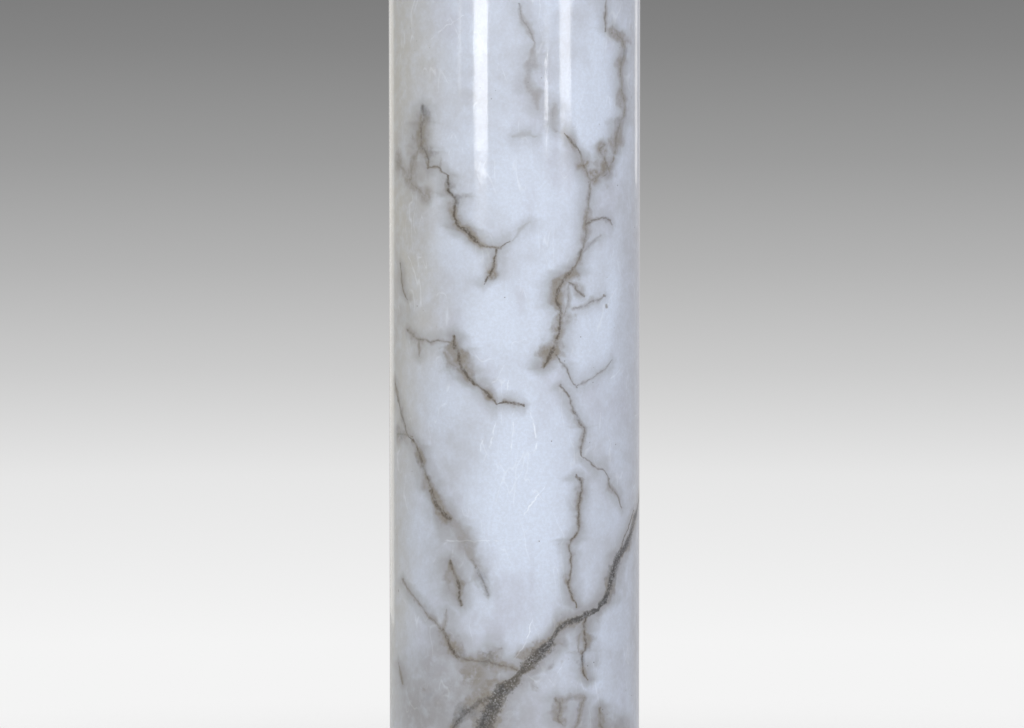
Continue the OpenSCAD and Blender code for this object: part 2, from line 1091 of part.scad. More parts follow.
module screw_plugs() {
    color(LEAD)
        difference() {
            screw_plug_set();
            bracket_screw_set(play = 0.1);
            translate([0, button_y, z_rim - plug_l + 4 - run_gap])
                cylinder(h = plug_l, r = post_r - 1 + run_gap);
        }
}

plinth_lower();
plinth_upper();
base_moulding();
shaft();
capital();
bowl();
plinth_bed();
base_bed();
shaft_foot_bed();
shaft_head_bed();
bowl_bed();
plinth_dowels();
base_dowels();
shaft_foot_dowels();
shaft_head_dowels();
bowl_dowels();
liner();
waste_body();
waste_grid();
waste_washer();
waste_backnut();
drain_pipe();
drain_ferrule();
drain_plug();
plug_seal();
plug_knob();
cover_dome();
cover_flange();
cover_band();
cover_rivets();
cover_felt();
finial_base();
finial_ball();
finial_cross();
finial_stud();
finial_washer();
finial_nut();
lift_ring();
ring_eye();
ring_eye_nut();
hinge_bracket();
hinge_strap();
hinge_pin();
bracket_screws();
strap_rivets();
turn_button();
button_post();
button_spacer();
screw_plugs();
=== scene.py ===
"""A veined alabaster baptismal font with a brass cover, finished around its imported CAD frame.

Lengths are in metres, +Z is up and the front of the font faces -Y. Angles round the stone are in degrees
from the front, positive towards +X.
"""

import math
from functools import partialmethod

import bmesh
import bpy
from mathutils import Matrix, Vector, noise


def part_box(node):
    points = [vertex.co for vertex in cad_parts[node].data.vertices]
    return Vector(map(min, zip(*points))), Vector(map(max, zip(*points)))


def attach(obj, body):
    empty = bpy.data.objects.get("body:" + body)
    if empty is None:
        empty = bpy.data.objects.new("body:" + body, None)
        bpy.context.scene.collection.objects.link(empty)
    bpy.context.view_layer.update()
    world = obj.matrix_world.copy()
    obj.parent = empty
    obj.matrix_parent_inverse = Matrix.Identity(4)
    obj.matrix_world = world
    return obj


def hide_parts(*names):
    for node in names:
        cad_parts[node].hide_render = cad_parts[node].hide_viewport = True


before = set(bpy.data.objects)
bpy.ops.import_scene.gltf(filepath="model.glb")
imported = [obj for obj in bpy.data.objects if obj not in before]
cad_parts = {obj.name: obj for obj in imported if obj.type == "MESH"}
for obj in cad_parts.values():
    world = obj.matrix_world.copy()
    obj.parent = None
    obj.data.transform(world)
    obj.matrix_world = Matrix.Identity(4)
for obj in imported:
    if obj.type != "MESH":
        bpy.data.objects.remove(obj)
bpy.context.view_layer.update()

MM = 0.001
TINY = 1e-6
FONT, COVER, PLUG, RING, BUTTON = "font", "cover", "plug", "ring", "button"


def low_z(node):
    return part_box(node)[0].z


def high_z(node):
    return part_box(node)[1].z


def radius_of(node):
    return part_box(node)[1].x


# ---------------------------------------------------------------------------------------------
# Turned and cut shapes
# ---------------------------------------------------------------------------------------------

ROUND_STEPS = 180     # sides of a large turned piece
FINE_STEPS = 64       # sides of a small turned piece


def arc(centre, radius, start, end, steps=12):
    """Points along an arc in the (radius, height) plane, from start to end degrees."""
    turns = [math.radians(start + (end - start) * i / steps) for i in range(steps + 1)]
    return [(centre[0] + radius * math.cos(a), centre[1] + radius * math.sin(a)) for a in turns]


def arc_between(a, b, radius, side=1, steps=12):
    """Points along the shorter arc from a to b, centred right of the way there, or left when side is -1."""
    (ax, ay), (bx, by) = a, b
    length = math.hypot(bx - ax, by - ay)
    away = side * math.sqrt(radius * radius - length * length / 4) / length
    cx, cy = (ax + bx) / 2 + (by - ay) * away, (ay + by) / 2 - (bx - ax) * away
    start = math.degrees(math.atan2(ay - cy, ax - cx))
    end = math.degrees(math.atan2(by - cy, bx - cx))
    while end - start > 180:
        end -= 360
    while end - start < -180:
        end += 360
    return arc((cx, cy), radius, start, end, steps)


def soften(outline, radius, closed=True, limit=25):
    """The outline with every corner sharper than limit degrees turned into a small curve."""
    count = len(outline)
    made = []
    for i, point in enumerate(outline):
        here = Vector(point)
        if not closed and i in (0, count - 1):
            made.append(tuple(here))
            continue
        before = Vector(outline[i - 1]) - here
        after = Vector(outline[(i + 1) % count]) - here
        if before.length < 1e-7 or after.length < 1e-7:
            continue
        if 180 - math.degrees(before.angle(after)) < limit:
            made.append(tuple(here))
            continue
        a = here + before.normalized() * min(radius, 0.4 * before.length)
        b = here + after.normalized() * min(radius, 0.4 * after.length)
        made += [tuple(a * (1 - t) ** 2 + here * 2 * t * (1 - t) + b * t ** 2) for t in (0, 0.25, 0.5, 0.75, 1)]
    return made


def mesh_object(name, build):
    """A new object at the origin whose mesh build(bm) makes."""
    mesh = bpy.data.meshes.new(name)
    bm = bmesh.new()
    build(bm)
    bmesh.ops.remove_doubles(bm, verts=bm.verts, dist=1e-7)
    bmesh.ops.recalc_face_normals(bm, faces=bm.faces)
    bm.to_mesh(mesh)
    bm.free()
    made = bpy.data.objects.new(name, mesh)
    bpy.context.scene.collection.objects.link(made)
    mesh.shade_smooth()
    mesh.set_sharp_from_angle(angle=math.radians(32))
    return made


def put(bm, rows, place):
    """Moves rows of fresh vertices by the matrix, if there is one."""
    if place is not None:
        bmesh.ops.transform(bm, matrix=place, verts=[v for row in rows for v in row])


def shifted(x, y, z):
    return Matrix.Translation((x, y, z))


def rotated(angle, axis):
    return Matrix.Rotation(angle, 4, axis)


def sweep(bm, outline, ring, closed=True, place=None):
    """Skins the outline round the axis. ring(r) gives one ring of (x, y) points at radius r."""
    rows = []
    for r, z in outline:
        if r < TINY:
            rows.append([bm.verts.new((0, 0, z))])
        else:
            rows.append([bm.verts.new((x, y, z)) for x, y in ring(r)])
    pairs = list(zip(rows, rows[1:]))
    if closed:
        pairs.append((rows[-1], rows[0]))
    for lower, upper in pairs:
        count = max(len(lower), len(upper))
        if count == 1:
            continue
        for i in range(count):
            j = (i + 1) % count
            corners = [lower[i % len(lower)], lower[j % len(lower)], upper[j % len(upper)], upper[i % len(upper)]]
            distinct = list(dict.fromkeys(corners))
            if len(distinct) > 2:
                bm.faces.new(distinct)
    put(bm, rows, place)


def circle_ring(steps):
    turns = [2 * math.pi * i / steps for i in range(steps)]
    return lambda r: [(r * math.cos(a), r * math.sin(a)) for a in turns]


def octagon_ring(corner, side_steps):
    """Rings at apothem r: a regular octagon with flats facing the axes and corners of that radius."""
    def ring(r):
        half_side = (r - corner) * math.tan(math.pi / 8)
        points = []
        for side in range(8):
            turn = side * math.pi / 4
            out, along = Vector((math.cos(turn), math.sin(turn))), Vector((-math.sin(turn), math.cos(turn)))
            for i in range(side_steps + 1):
                points.append(out * r + along * half_side * (2 * i / side_steps - 1))
            centre = out * (r - corner) + along * half_side
            for i in (1, 2, 3):
                a = turn + math.pi / 4 * i / 4
                points.append(centre + Vector((math.cos(a), math.sin(a))) * corner)
        return [(p.x, p.y) for p in points]

    return ring


def lathe(bm, outline, place=None, edge=0.3 * MM, steps=FINE_STEPS):
    """Adds one turned part with its arrises eased. An outline that starts on the axis ends there too."""
    closed = outline[0][0] > TINY
    sweep(bm, soften(outline, edge, closed), circle_ring(steps), closed, place)


def turned(name, outline, edge=0.8 * MM, steps=ROUND_STEPS):
    return mesh_object(name, lambda bm: lathe(bm, outline, None, edge, steps))


# ---------------------------------------------------------------------------------------------
# Node graphs
# ---------------------------------------------------------------------------------------------


class Graph:
    """Adds nodes to one tree. An input may be a socket or a plain value."""

    def __init__(self, tree):
        self.tree = tree

    def node(self, kind, inputs=None, **settings):
        made = self.tree.nodes.new(kind)
        for key, value in settings.items():
            setattr(made, key, value)
        for key, value in (inputs or {}).items():
            self.feed(made.inputs[key], value)
        return made

    def feed(self, socket, value):
        if isinstance(value, bpy.types.NodeSocket):
            self.tree.links.new(value, socket)
        else:
            socket.default_value = value

    def feed_all(self, node, values):
        for socket, value in zip(node.inputs, values):
            self.feed(socket, value)

    def math(self, operation, a, b=0.0, c=0.0, clamp=False):
        return self.node("ShaderNodeMath", {0: a, 1: b, 2: c}, operation=operation, use_clamp=clamp).outputs[0]

    add = partialmethod(math, "ADD")
    sub = partialmethod(math, "SUBTRACT")
    mul = partialmethod(math, "MULTIPLY")
    div = partialmethod(math, "DIVIDE")
    mul_add = partialmethod(math, "MULTIPLY_ADD")
    least = partialmethod(math, "MINIMUM")
    most = partialmethod(math, "MAXIMUM")
    root = partialmethod(math, "SQRT")

    def apart(self, a, b):
        """How far a is from b."""
        return self.math("ABSOLUTE", self.sub(a, b))

    def vector(self, operation, a, b=(0, 0, 0)):
        return self.node("ShaderNodeVectorMath", {0: a, 1: b}, operation=operation).outputs[0]

    def scaled(self, vector, factor):
        return self.node("ShaderNodeVectorMath", {0: vector, "Scale": factor}, operation="SCALE").outputs[0]

    def split(self, vector):
        """The X, Y and Z sockets of a vector."""
        return self.node("ShaderNodeSeparateXYZ", {0: vector}).outputs

    def ramp(self, value, low, high, to_low=0.0, to_high=1.0, smooth=True):
        inputs = dict(enumerate((value, low, high, to_low, to_high)))
        kind = "SMOOTHSTEP" if smooth else "LINEAR"
        return self.node("ShaderNodeMapRange", inputs, interpolation_type=kind).outputs[0]

    def mix(self, factor, a, b):
        return self.node("ShaderNodeMix", {0: factor, 6: a, 7: b}, data_type="RGBA").outputs[2]

    def mix_shaders(self, factor, a, b):
        return self.node("ShaderNodeMixShader", {0: factor, 1: a, 2: b}).outputs[0]

    def noise(self, vector, scale, detail=2.0, roughness=0.5):
        inputs = {"Vector": vector, "Scale": scale, "Detail": detail, "Roughness": roughness}
        return self.node("ShaderNodeTexNoise", inputs)

    def noise_value(self, *settings):
        return self.noise(*settings).outputs[0]

    def drawn_noise(self, vector, scales, *settings):
        """Noise with a scale of its own along each axis."""
        return self.noise_value(self.vector("MULTIPLY", vector, scales), 1.0, *settings)

    def wobble(self, vector, scale, amount, detail=2.0):
        """A vector that wanders by amount about zero."""
        centred = self.vector("SUBTRACT", self.noise(vector, scale, detail).outputs[1], (0.5, 0.5, 0.5))
        return self.scaled(centred, 2 * amount)

    def bump(self, height, distance, strength):
        inputs = {"Height": height, "Distance": distance, "Strength": strength}
        return self.node("ShaderNodeBump", inputs).outputs[0]


def new_material(name):
    """A material with one Principled shader: (material, graph, shader node, rest-frame position socket)."""
    material = bpy.data.materials.new(name)
    material.use_nodes = True
    graph = Graph(material.node_tree)
    shader = material.node_tree.nodes["Principled BSDF"]
    position = graph.node("ShaderNodeTexCoord").outputs["Object"]
    return material, graph, shader, position


def set_inputs(graph, shader, **values):
    for key, value in values.items():
        graph.feed(shader.inputs[key.replace("_", " ")], value)


# ---------------------------------------------------------------------------------------------
# Alabaster
# ---------------------------------------------------------------------------------------------

WHITE = (0.555, 0.605, 0.705, 1)
CLOUD = (0.470, 0.495, 0.555, 1)
MILK = (0.640, 0.710, 0.835, 1)
WARM = (0.475, 0.462, 0.425, 1)
# Grey of the stone's duller clouds, also used on the shaft as painted shade.
ASH_AND_SHADE = (0.370, 0.375, 0.400, 1)
LILAC = (0.455, 0.465, 0.540, 1)
HALO = (0.235, 0.226, 0.218, 1)
STAIN = (0.205, 0.174, 0.132, 1)
VEIN = (0.080, 0.064, 0.050, 1)
DEEP = (0.044, 0.043, 0.044, 1)
SLATE = (0.155, 0.158, 0.168, 1)
UMBER = (0.132, 0.112, 0.086, 1)
SUGAR = (0.44, 0.44, 0.44, 1)
CRACK = (0.86, 0.91, 0.97, 1)


def alabaster_surface(graph, shader, position, masks):
    """Colours the stone from masks, a dict of sockets from 0 to 1.

    core is a vein's crisp line, stain the brown round it, halo the grey veil beside it, dark the broad
    granular veins, thread the white healed cracks; warm, milk and ash tint the ground between them. On the
    shaft, ash also holds painted shade along its foot and down its right side.
    """
    bent = graph.vector("ADD", position, graph.wobble(position, 9, 0.035))
    clouds = graph.noise_value(bent, 12, 4, 0.60)
    fine = graph.noise_value(position, 95, 4, 0.65)
    grit = graph.noise_value(position, 420, 3, 0.7)
    patches = graph.noise_value(bent, 36, 3, 0.6)
    colour = graph.mix(graph.ramp(clouds, 0.34, 0.60), CLOUD, WHITE)
    milk = graph.most(masks["milk"], graph.ramp(clouds, 0.56, 0.74, 0.0, 0.75))
    colour = graph.mix(milk, colour, MILK)
    haze = graph.noise_value(graph.vector("MULTIPLY", bent, (1, 1, 0.55)), 26, 4, 0.62)
    colour = graph.mix(graph.ramp(haze, 0.50, 0.70, 0.0, 0.55), colour, LILAC)
    colour = graph.mix(graph.ramp(patches, 0.54, 0.72, 0.0, 0.45), colour, MILK)
    colour = graph.mix(masks["warm"], colour, WARM)
    # On the shaft this grey is also painted shade along the foot and down the right side.
    colour = graph.mix(masks["ash_and_shade"], colour, ASH_AND_SHADE)
    colour = graph.mix(graph.ramp(fine, 0.35, 0.72, 0.0, 0.30), colour, MILK)
    colour = graph.mix(graph.ramp(grit, 0.35, 0.70, 0.20, 0.0), colour, ASH_AND_SHADE)
    hair = graph.drawn_noise(bent, (44, 44, 13), 2, 0.45)
    hair = graph.ramp(graph.apart(hair, 0.5), 0.011, 0.0, 0.0, 0.24)
    hair = graph.mul(hair, graph.ramp(patches, 0.48, 0.60))
    colour = graph.mix(hair, colour, CRACK)
    colour = graph.mix(masks["thread"], colour, CRACK)

    veil = graph.mul(masks["halo"], graph.ramp(graph.add(clouds, patches), 0.75, 1.25, 0.40, 0.85))
    colour = graph.mix(veil, colour, HALO)
    grain = graph.ramp(graph.add(graph.mul(fine, 0.6), graph.mul(grit, 0.4)), 0.36, 0.58)
    stain = graph.mul(masks["stain"], graph.mul_add(grain, 0.40, 0.48))
    colour = graph.mix(stain, colour, graph.mix(graph.ramp(patches, 0.28, 0.52), SLATE, STAIN))
    core = graph.mul(masks["core"], graph.ramp(grit, 0.38, 0.54, 0.35, 0.92))
    colour = graph.mix(core, colour, VEIN)

    crystals = graph.node("ShaderNodeTexVoronoi", {"Vector": position, "Scale": 620.0}).outputs
    sugar = graph.ramp(crystals["Distance"], 0.60, 0.15)
    sugar = graph.mul(sugar, graph.ramp(grit, 0.46, 0.62))
    band = graph.mix(graph.ramp(crystals["Distance"], 0.20, 0.75), SLATE, DEEP)
    band = graph.mix(graph.ramp(patches, 0.40, 0.65, 0.10, 0.55), band, UMBER)
    band = graph.mix(graph.ramp(fine, 0.50, 0.40, 0.0, 0.75), band, DEEP)
    band = graph.mix(graph.mul(sugar, graph.ramp(fine, 0.44, 0.66, 0.06, 0.65)), band, SUGAR)
    colour = graph.mix(masks["dark"], colour, band)

    speck = graph.node("ShaderNodeTexVoronoi", {"Vector": position, "Scale": 140.0}).outputs["Distance"]
    speck_here = graph.ramp(graph.noise_value(position, 40, 1), 0.60, 0.68)
    speck_mask = graph.mul(graph.ramp(speck, 0.10, 0.05, 0.0, 0.7), speck_here)
    colour = graph.mix(speck_mask, colour, VEIN)

    swell = graph.noise_value(position, 65, 2, 0.5)
    polish = graph.drawn_noise(position, (150, 150, 6), 2)
    height = graph.mul_add(grit, 0.06, graph.mul_add(polish, 0.8, swell))
    normal = graph.bump(height, 0.16 * MM, 0.6)
    rough = graph.mul_add(masks["dark"], 0.25, graph.mul_add(fine, 0.05, 0.085))
    set_inputs(
        graph, shader, Base_Color=colour, Roughness=rough, IOR=1.52, Subsurface_Weight=0.15,
        Subsurface_Scale=0.010, Subsurface_Radius=(1.0, 0.95, 0.9), Coat_Weight=0.4, Coat_Roughness=0.025,
        Normal=normal, Coat_Normal=normal,
    )


def field_masks(graph, position, turn, shift, planes):
    """Vein masks for a whole block. Each plane is a (normal, distance, half width) dark vein through it."""
    inputs = {"Vector": position, "Location": shift, "Rotation": turn}
    placed = graph.node("ShaderNodeMapping", inputs).outputs[0]
    bent = graph.vector("ADD", placed, graph.wobble(placed, 7, 0.05))
    bent = graph.vector("ADD", bent, graph.wobble(placed, 45, 0.007, 4))
    grit = graph.noise_value(placed, 300, 3, 0.7)
    swell = graph.noise_value(placed, 20, 2)
    here = graph.ramp(graph.noise_value(placed, 8, 1), 0.40, 0.58)

    first = graph.apart(graph.noise_value(bent, 4.6, 2, 0.45), 0.5)
    other = graph.noise_value(graph.vector("ADD", bent, (3.1, 1.7, 0.4)), 6.4, 2, 0.45)
    other = graph.apart(other, 0.47)
    near = graph.least(first, graph.mul(other, 1.4))
    ragged = graph.mul(near, graph.ramp(grit, 0.3, 0.7, 1.5, 0.7))
    stain_width = graph.ramp(swell, 0.35, 0.68, 0.005, 0.026)
    stain = graph.sub(1.0, graph.div(ragged, stain_width), clamp=True)
    core = graph.ramp(ragged, 0.0052, 0.0015)
    halo = graph.mul(graph.ramp(near, 0.065, 0.0), graph.ramp(here, 0.0, 1.0, 0.3, 1.0))
    dark = 0.0
    for normal, distance, half_width in planes:
        offset = graph.node("ShaderNodeVectorMath", {0: position, 1: normal}, operation="DOT_PRODUCT").outputs[1]
        wander = graph.noise_value(position, 9, 3, 0.55)
        offset = graph.add(offset, graph.mul_add(wander, 0.11, -0.055))
        away = graph.apart(offset, distance)
        breadth = graph.mul(graph.ramp(grit, 0.25, 0.75, 0.4, 1.4), half_width)
        edge = graph.ramp(graph.div(away, breadth), 1.25, 0.55)
        dark = graph.most(dark, graph.mul(edge, 0.9))
        halo = graph.most(halo, graph.ramp(away, 0.022, 0.0))
    warm = graph.ramp(graph.noise_value(placed, 5.5, 2), 0.50, 0.66, 0.0, 0.85)
    ash_and_shade = graph.ramp(graph.noise_value(placed, 15, 3), 0.58, 0.75, 0.0, 0.5)
    streak = graph.drawn_noise(bent, (60, 60, 9), 1)
    thread = graph.ramp(graph.apart(streak, 0.5), 0.004, 0.0, 0.0, 0.4)
    thread = graph.mul(thread, graph.ramp(swell, 0.56, 0.62))
    return {
        "core": graph.mul(core, graph.mul(here, 0.8)),
        "stain": graph.mul(stain, graph.mul_add(here, 0.75, 0.15)),
        "halo": halo, "dark": dark, "warm": warm, "ash_and_shade": ash_and_shade, "milk": 0.0, "thread": thread,
    }


# The shaft's own veins, in (degrees round the shaft, millimetres above the foot of its plain part).
# The direction says which of the two rises all along the vein, so that the other can be drawn over it.
UP, ROUND = "up", "round"
# (direction, half width of the stain in mm, strength of its crisp line, strength, points)
SHAFT_VEINS = [
    (UP, 2.2, 0.9, 1.0, [(-17, 389), (-22, 398), (-27, 405), (-28, 413), (-27, 422), (-31, 431), (-31, 441)]),
    (ROUND, 1.2, 0.5, 0.8, [(-43, 447), (-37, 448), (-34, 444), (-31, 441)]),
    (UP, 3.0, 0.5, 0.9, [(-42, 448), (-43, 457), (-45, 462), (-47, 469), (-47, 478), (-45, 486), (-45, 495)]),
    (UP, 1.5, 0.2, 0.6, [(-44, 424), (-49, 431), (-54, 438), (-52, 453), (-48, 462)]),
    (ROUND, 1.5, 0.2, 0.55, [(-68, 453), (-60, 445), (-54, 438)]),
    (ROUND, 1.2, 0.5, 0.8, [(-18, 390), (-13, 386), (-8, 385), (-5, 387), (-2, 391)]),
    (UP, 1.4, 0, 0.4, [(-1, 391), (3, 399), (7, 406)]),
    (UP, 1.6, 0.8, 0.85, [(-14, 357), (-10, 366), (-9, 374), (-8, 384)]),
    (UP, 2.2, 0, 0.5, [(10, 491), (10, 501), (6, 511), (7, 525), (8, 537), (9, 544)]),
    (UP, 1.5, 0.25, 0.5, [(9, 544), (6, 555), (3, 565), (2, 574)]),
    (ROUND, 1.6, 0, 0.35, [(-1, 470), (5, 473), (10, 471)]),
    (UP, 1.2, 0.5, 0.65, [(45, 553), (45, 565), (45, 580)]),
    (UP, 3.2, 0.3, 0.75, [(51, 459), (53, 471), (55, 481), (60, 494), (57, 510), (56, 524), (59, 539),
                          (54, 550), (47, 557)]),
    (ROUND, 1.6, 0.8, 0.9, [(23, 473), (27, 466), (30, 459)]),
    (UP, 2.5, 0.4, 0.8, [(36, 436), (34, 444), (32, 451), (30, 459)]),
    (UP, 2.0, 0.4, 0.75, [(42, 439), (46, 445), (45, 453), (42, 461), (45, 465)]),
    (ROUND, 2.4, 0.3, 0.8, [(35, 436), (40, 440), (46, 445), (51, 455)]),
    (UP, 2.0, 0.1, 0.45, [(19, 474), (17, 485), (18, 496)]),
    (UP, 1.8, 0.35, 0.8, [(32, 384), (33, 391), (34, 406), (35, 420), (36, 437)]),
    (ROUND, 1.0, 0.5, 0.6, [(34, 404), (39, 407), (44, 408), (47, 407), (50, 402)]),
    (UP, 1.6, 0.5, 0.9, [(28, 369), (30, 377), (32, 384)]),
    (UP, 1.6, 0.1, 0.5, [(32, 381), (37, 389), (42, 395)]),
    (UP, 3.0, 0.8, 1.0, [(13, 292), (16, 301), (19, 311), (21, 325), (21, 335), (19, 345), (20, 353),
                         (23, 361), (28, 370)]),
    (UP, 1.3, 0.2, 0.6, [(21, 320), (23, 335), (25, 346), (25, 357)]),
    (ROUND, 1.6, 0.6, 0.8, [(25, 358), (27, 356), (30, 351), (33, 348)]),
    (ROUND, 1.0, 0.4, 0.5, [(27, 338), (33, 340), (38, 344), (42, 345), (45, 348)]),
    (UP, 0.9, 0.6, 0.6, [(29, 276), (26, 283), (24, 290), (21, 297), (19, 302)]),
    (ROUND, 1.0, 0.3, 0.5, [(28, 277), (32, 280), (35, 282), (41, 287), (46, 292), (50, 297)]),
    (UP, 0.9, 0.6, 0.65, [(32, 221), (31, 226), (32, 236), (33, 243), (31, 248), (29, 254), (26, 263),
                          (24, 272), (20, 279)]),
    (ROUND, 1.0, 0.5, 0.6, [(32, 222), (36, 217), (40, 212), (44, 210), (48, 203)]),
    (UP, 1.0, 0.4, 0.6, [(58, 180), (54, 189), (49, 198), (46, 207)]),
    (ROUND, 1.0, 0.4, 0.65, [(-58, 321), (-52, 316), (-48, 313), (-41, 312), (-37, 313), (-32, 312),
                             (-27, 309)]),
    (UP, 1.2, 0.2, 0.6, [(-48, 299), (-48, 312)]),
    (UP, 3.0, 0.9, 1.0, [(-18, 280), (-22, 288), (-25, 297), (-26, 304), (-28, 311), (-28, 317)]),
    (ROUND, 2.2, 0.2, 0.7, [(-33, 303), (-30, 296), (-26, 292), (-22, 287)]),
    (ROUND, 1.7, 0.9, 1.0, [(-21, 285), (-16, 278), (-12, 272), (-8, 264)]),
    (ROUND, 0.8, 0.9, 0.8, [(-8, 264), (-4, 266), (1, 265), (4, 264)]),
    (UP, 1.0, 0.5, 0.7, [(-57, 344), (-61, 353), (-63, 363), (-64, 373)]),
    (UP, 1.2, 0.8, 0.9, [(-52, 233), (-57, 238), (-59, 243), (-62, 252), (-67, 266), (-71, 280)]),
    (ROUND, 1.8, 0.4, 0.8, [(-68, 237), (-59, 238), (-53, 236)]),
    (UP, 2.4, 0.7, 0.95, [(-39, 191), (-41, 201), (-44, 209), (-47, 219), (-49, 226), (-53, 234)]),
    (ROUND, 4.0, 0.8, 1.0, [(-41, 195), (-38, 186), (-35, 180), (-30, 175)]),
    (UP, 2.6, 0, 0.55, [(-18, 141), (-21, 153), (-24, 162), (-27, 170), (-31, 178)]),
    (UP, 1.8, 0.4, 0.6, [(-12, 115), (-14, 126), (-16, 133), (-19, 144)]),
    (UP, 2.2, 0.85, 0.95, [(-25, 107), (-25, 121), (-27, 129), (-29, 137), (-30, 142)]),
    (UP, 1.5, 0.4, 0.7, [(-33, 86), (-40, 94), (-47, 104), (-54, 113), (-62, 123)]),
    (UP, 4.2, 0.9, 1.0, [(-26, 66), (-29, 72), (-31, 79), (-34, 87)]),
    (UP, 1.8, 0.2, 0.6, [(-34, 85), (-32, 95), (-32, 103)]),
    (ROUND, 2.0, 0.4, 0.85, [(-28, 68), (-21, 65), (-16, 64), (-12, 65), (-9, 62), (-4, 61), (0, 59), (5, 55)]),
    (ROUND, 3.0, 0.1, 0.6, [(-14, 66), (-10, 72), (-6, 74)]),
    (ROUND, 3.2, 0.5, 1.0, [(-30, 8), (-21, 25), (-14, 33), (-9, 37), (-4, 44)]),
    (UP, 1.2, 0.7, 0.9, [(29, 106), (26, 116), (25, 127), (26, 138), (26, 146), (25, 152), (26, 157),
                         (29, 163), (30, 172), (30, 183), (31, 198), (27, 209)]),
    (UP, 2.1, 0.75, 0.9, [(35, 47), (33, 54), (32, 68), (34, 74), (33, 86), (35, 98)]),
    (UP, 1.4, 0.1, 0.5, [(30, 70), (30, 80), (32, 87)]),
    (ROUND, 1.6, 0.1, 0.6, [(19, 36), (22, 33), (28, 35), (33, 32)]),
    (UP, 2.4, 0.3, 0.8, [(22, 14), (20, 20), (21, 28), (19, 36)]),
    (UP, 2.0, 0.2, 0.75, [(27, 8), (30, 17), (31, 26), (33, 34)]),
    (UP, 2.4, 0.3, 0.8, [(44, 6), (42, 17), (42, 25)]),
    (UP, 1.6, 0.4, 0.7, [(-62, 40), (-64, 48), (-67, 56)]),
    (UP, 0.8, 0.9, 0.7, [(55, 141), (59, 154), (65, 166), (71, 176)]),
    # round the back
    (ROUND, 2.0, 0.6, 0.85, [(92, 420), (108, 404), (120, 412), (134, 390), (150, 372), (166, 378), (179, 360)]),
    (ROUND, 1.8, 0.7, 0.85, [(-179, 360), (-166, 344), (-150, 350), (-136, 330), (-118, 322), (-104, 334),
                             (-84, 308)]),
    (UP, 1.4, 0.6, 0.8, [(118, 196), (112, 224), (120, 250), (116, 282), (126, 318), (122, 350), (131, 392)]),
    (UP, 2.4, 0.6, 0.85, [(-150, 350), (-143, 384), (-149, 412), (-138, 446), (-141, 480), (-128, 520),
                          (-131, 560), (-124, 606)]),
    (UP, 1.6, 0.5, 0.75, [(160, 372), (152, 404), (157, 440), (148, 470), (153, 516), (144, 560), (147, 606)]),
    (ROUND, 1.8, 0.3, 0.7, [(-140, 470), (-124, 462), (-112, 476), (-98, 468), (-80, 474)]),
    (UP, 1.8, 0.5, 0.8, [(-120, -16), (-114, 26), (-121, 62), (-110, 102), (-116, 150), (-104, 190),
                         (-108, 240), (-98, 290), (-104, 334)]),
    (UP, 1.2, 0.4, 0.6, [(178, 296), (171, 316), (175, 340), (168, 372)]),
    (ROUND, 1.6, 0.4, 0.7, [(92, 96), (106, 84), (122, 92), (140, 70), (158, 76), (174, 58)]),
]
# (direction, half width in mm, strength, points)
DARK_BANDS = [
    (UP, 2.5, 1.0, [(40, 102), (46, 112), (50, 127), (55, 142), (64, 153), (71, 167), (79, 180)]),
    (ROUND, 2.2, 0.95, [(16, 80), (21, 90), (25, 94), (30, 96), (34, 99), (41, 103)]),
    (UP, 3.8, 1.0, [(1, 52), (6, 61), (11, 71), (17, 81)]),
    (UP, 4.6, 1.0, [(-16, 1), (-12, 20), (-9, 30), (-5, 42), (2, 54)]),
    (ROUND, 2.0, 0.45, [(-29, 10), (-21, 25), (-14, 33), (-9, 37), (-4, 44)]),
    (UP, 2.6, 0.9, [(79, 178), (98, 203), (118, 226), (142, 262), (179, 300)]),
    (ROUND, 3.0, 0.9, [(-179, 300), (-160, 318), (-148, 346)]),
]
# White healed cracks: (direction, half width in mm, strength, points)
THREADS = [
    (UP, 0.5, 0.6, [(3, 175), (7, 185), (14, 201)]),
    (UP, 0.5, 0.5, [(-1, 64), (5, 80), (8, 97)]),
    (ROUND, 0.5, 0.35, [(-33, 157), (-20, 158), (-1, 158), (8, 171)]),
    (ROUND, 0.7, 0.35, [(-41, 546), (-33, 555), (-23, 565)]),
    (UP, 0.8, 0.55, [(10, 230), (9, 245), (7, 258)]),
    (UP, 0.6, 0.50, [(-15, 213), (-11, 233), (-8, 251)]),
    (UP, 0.9, 0.50, [(3, 351), (2, 361)]),
    (ROUND, 0.6, 0.40, [(-14, 278), (-9, 283), (-4, 294)]),
    (UP, 0.8, 0.40, [(-4, 271), (-2, 283)]),
    (UP, 0.9, 0.45, [(-16, 225), (-14, 236)]),
    (UP, 0.6, 0.50, [(-2, 225), (-1, 237), (0, 250)]),
]
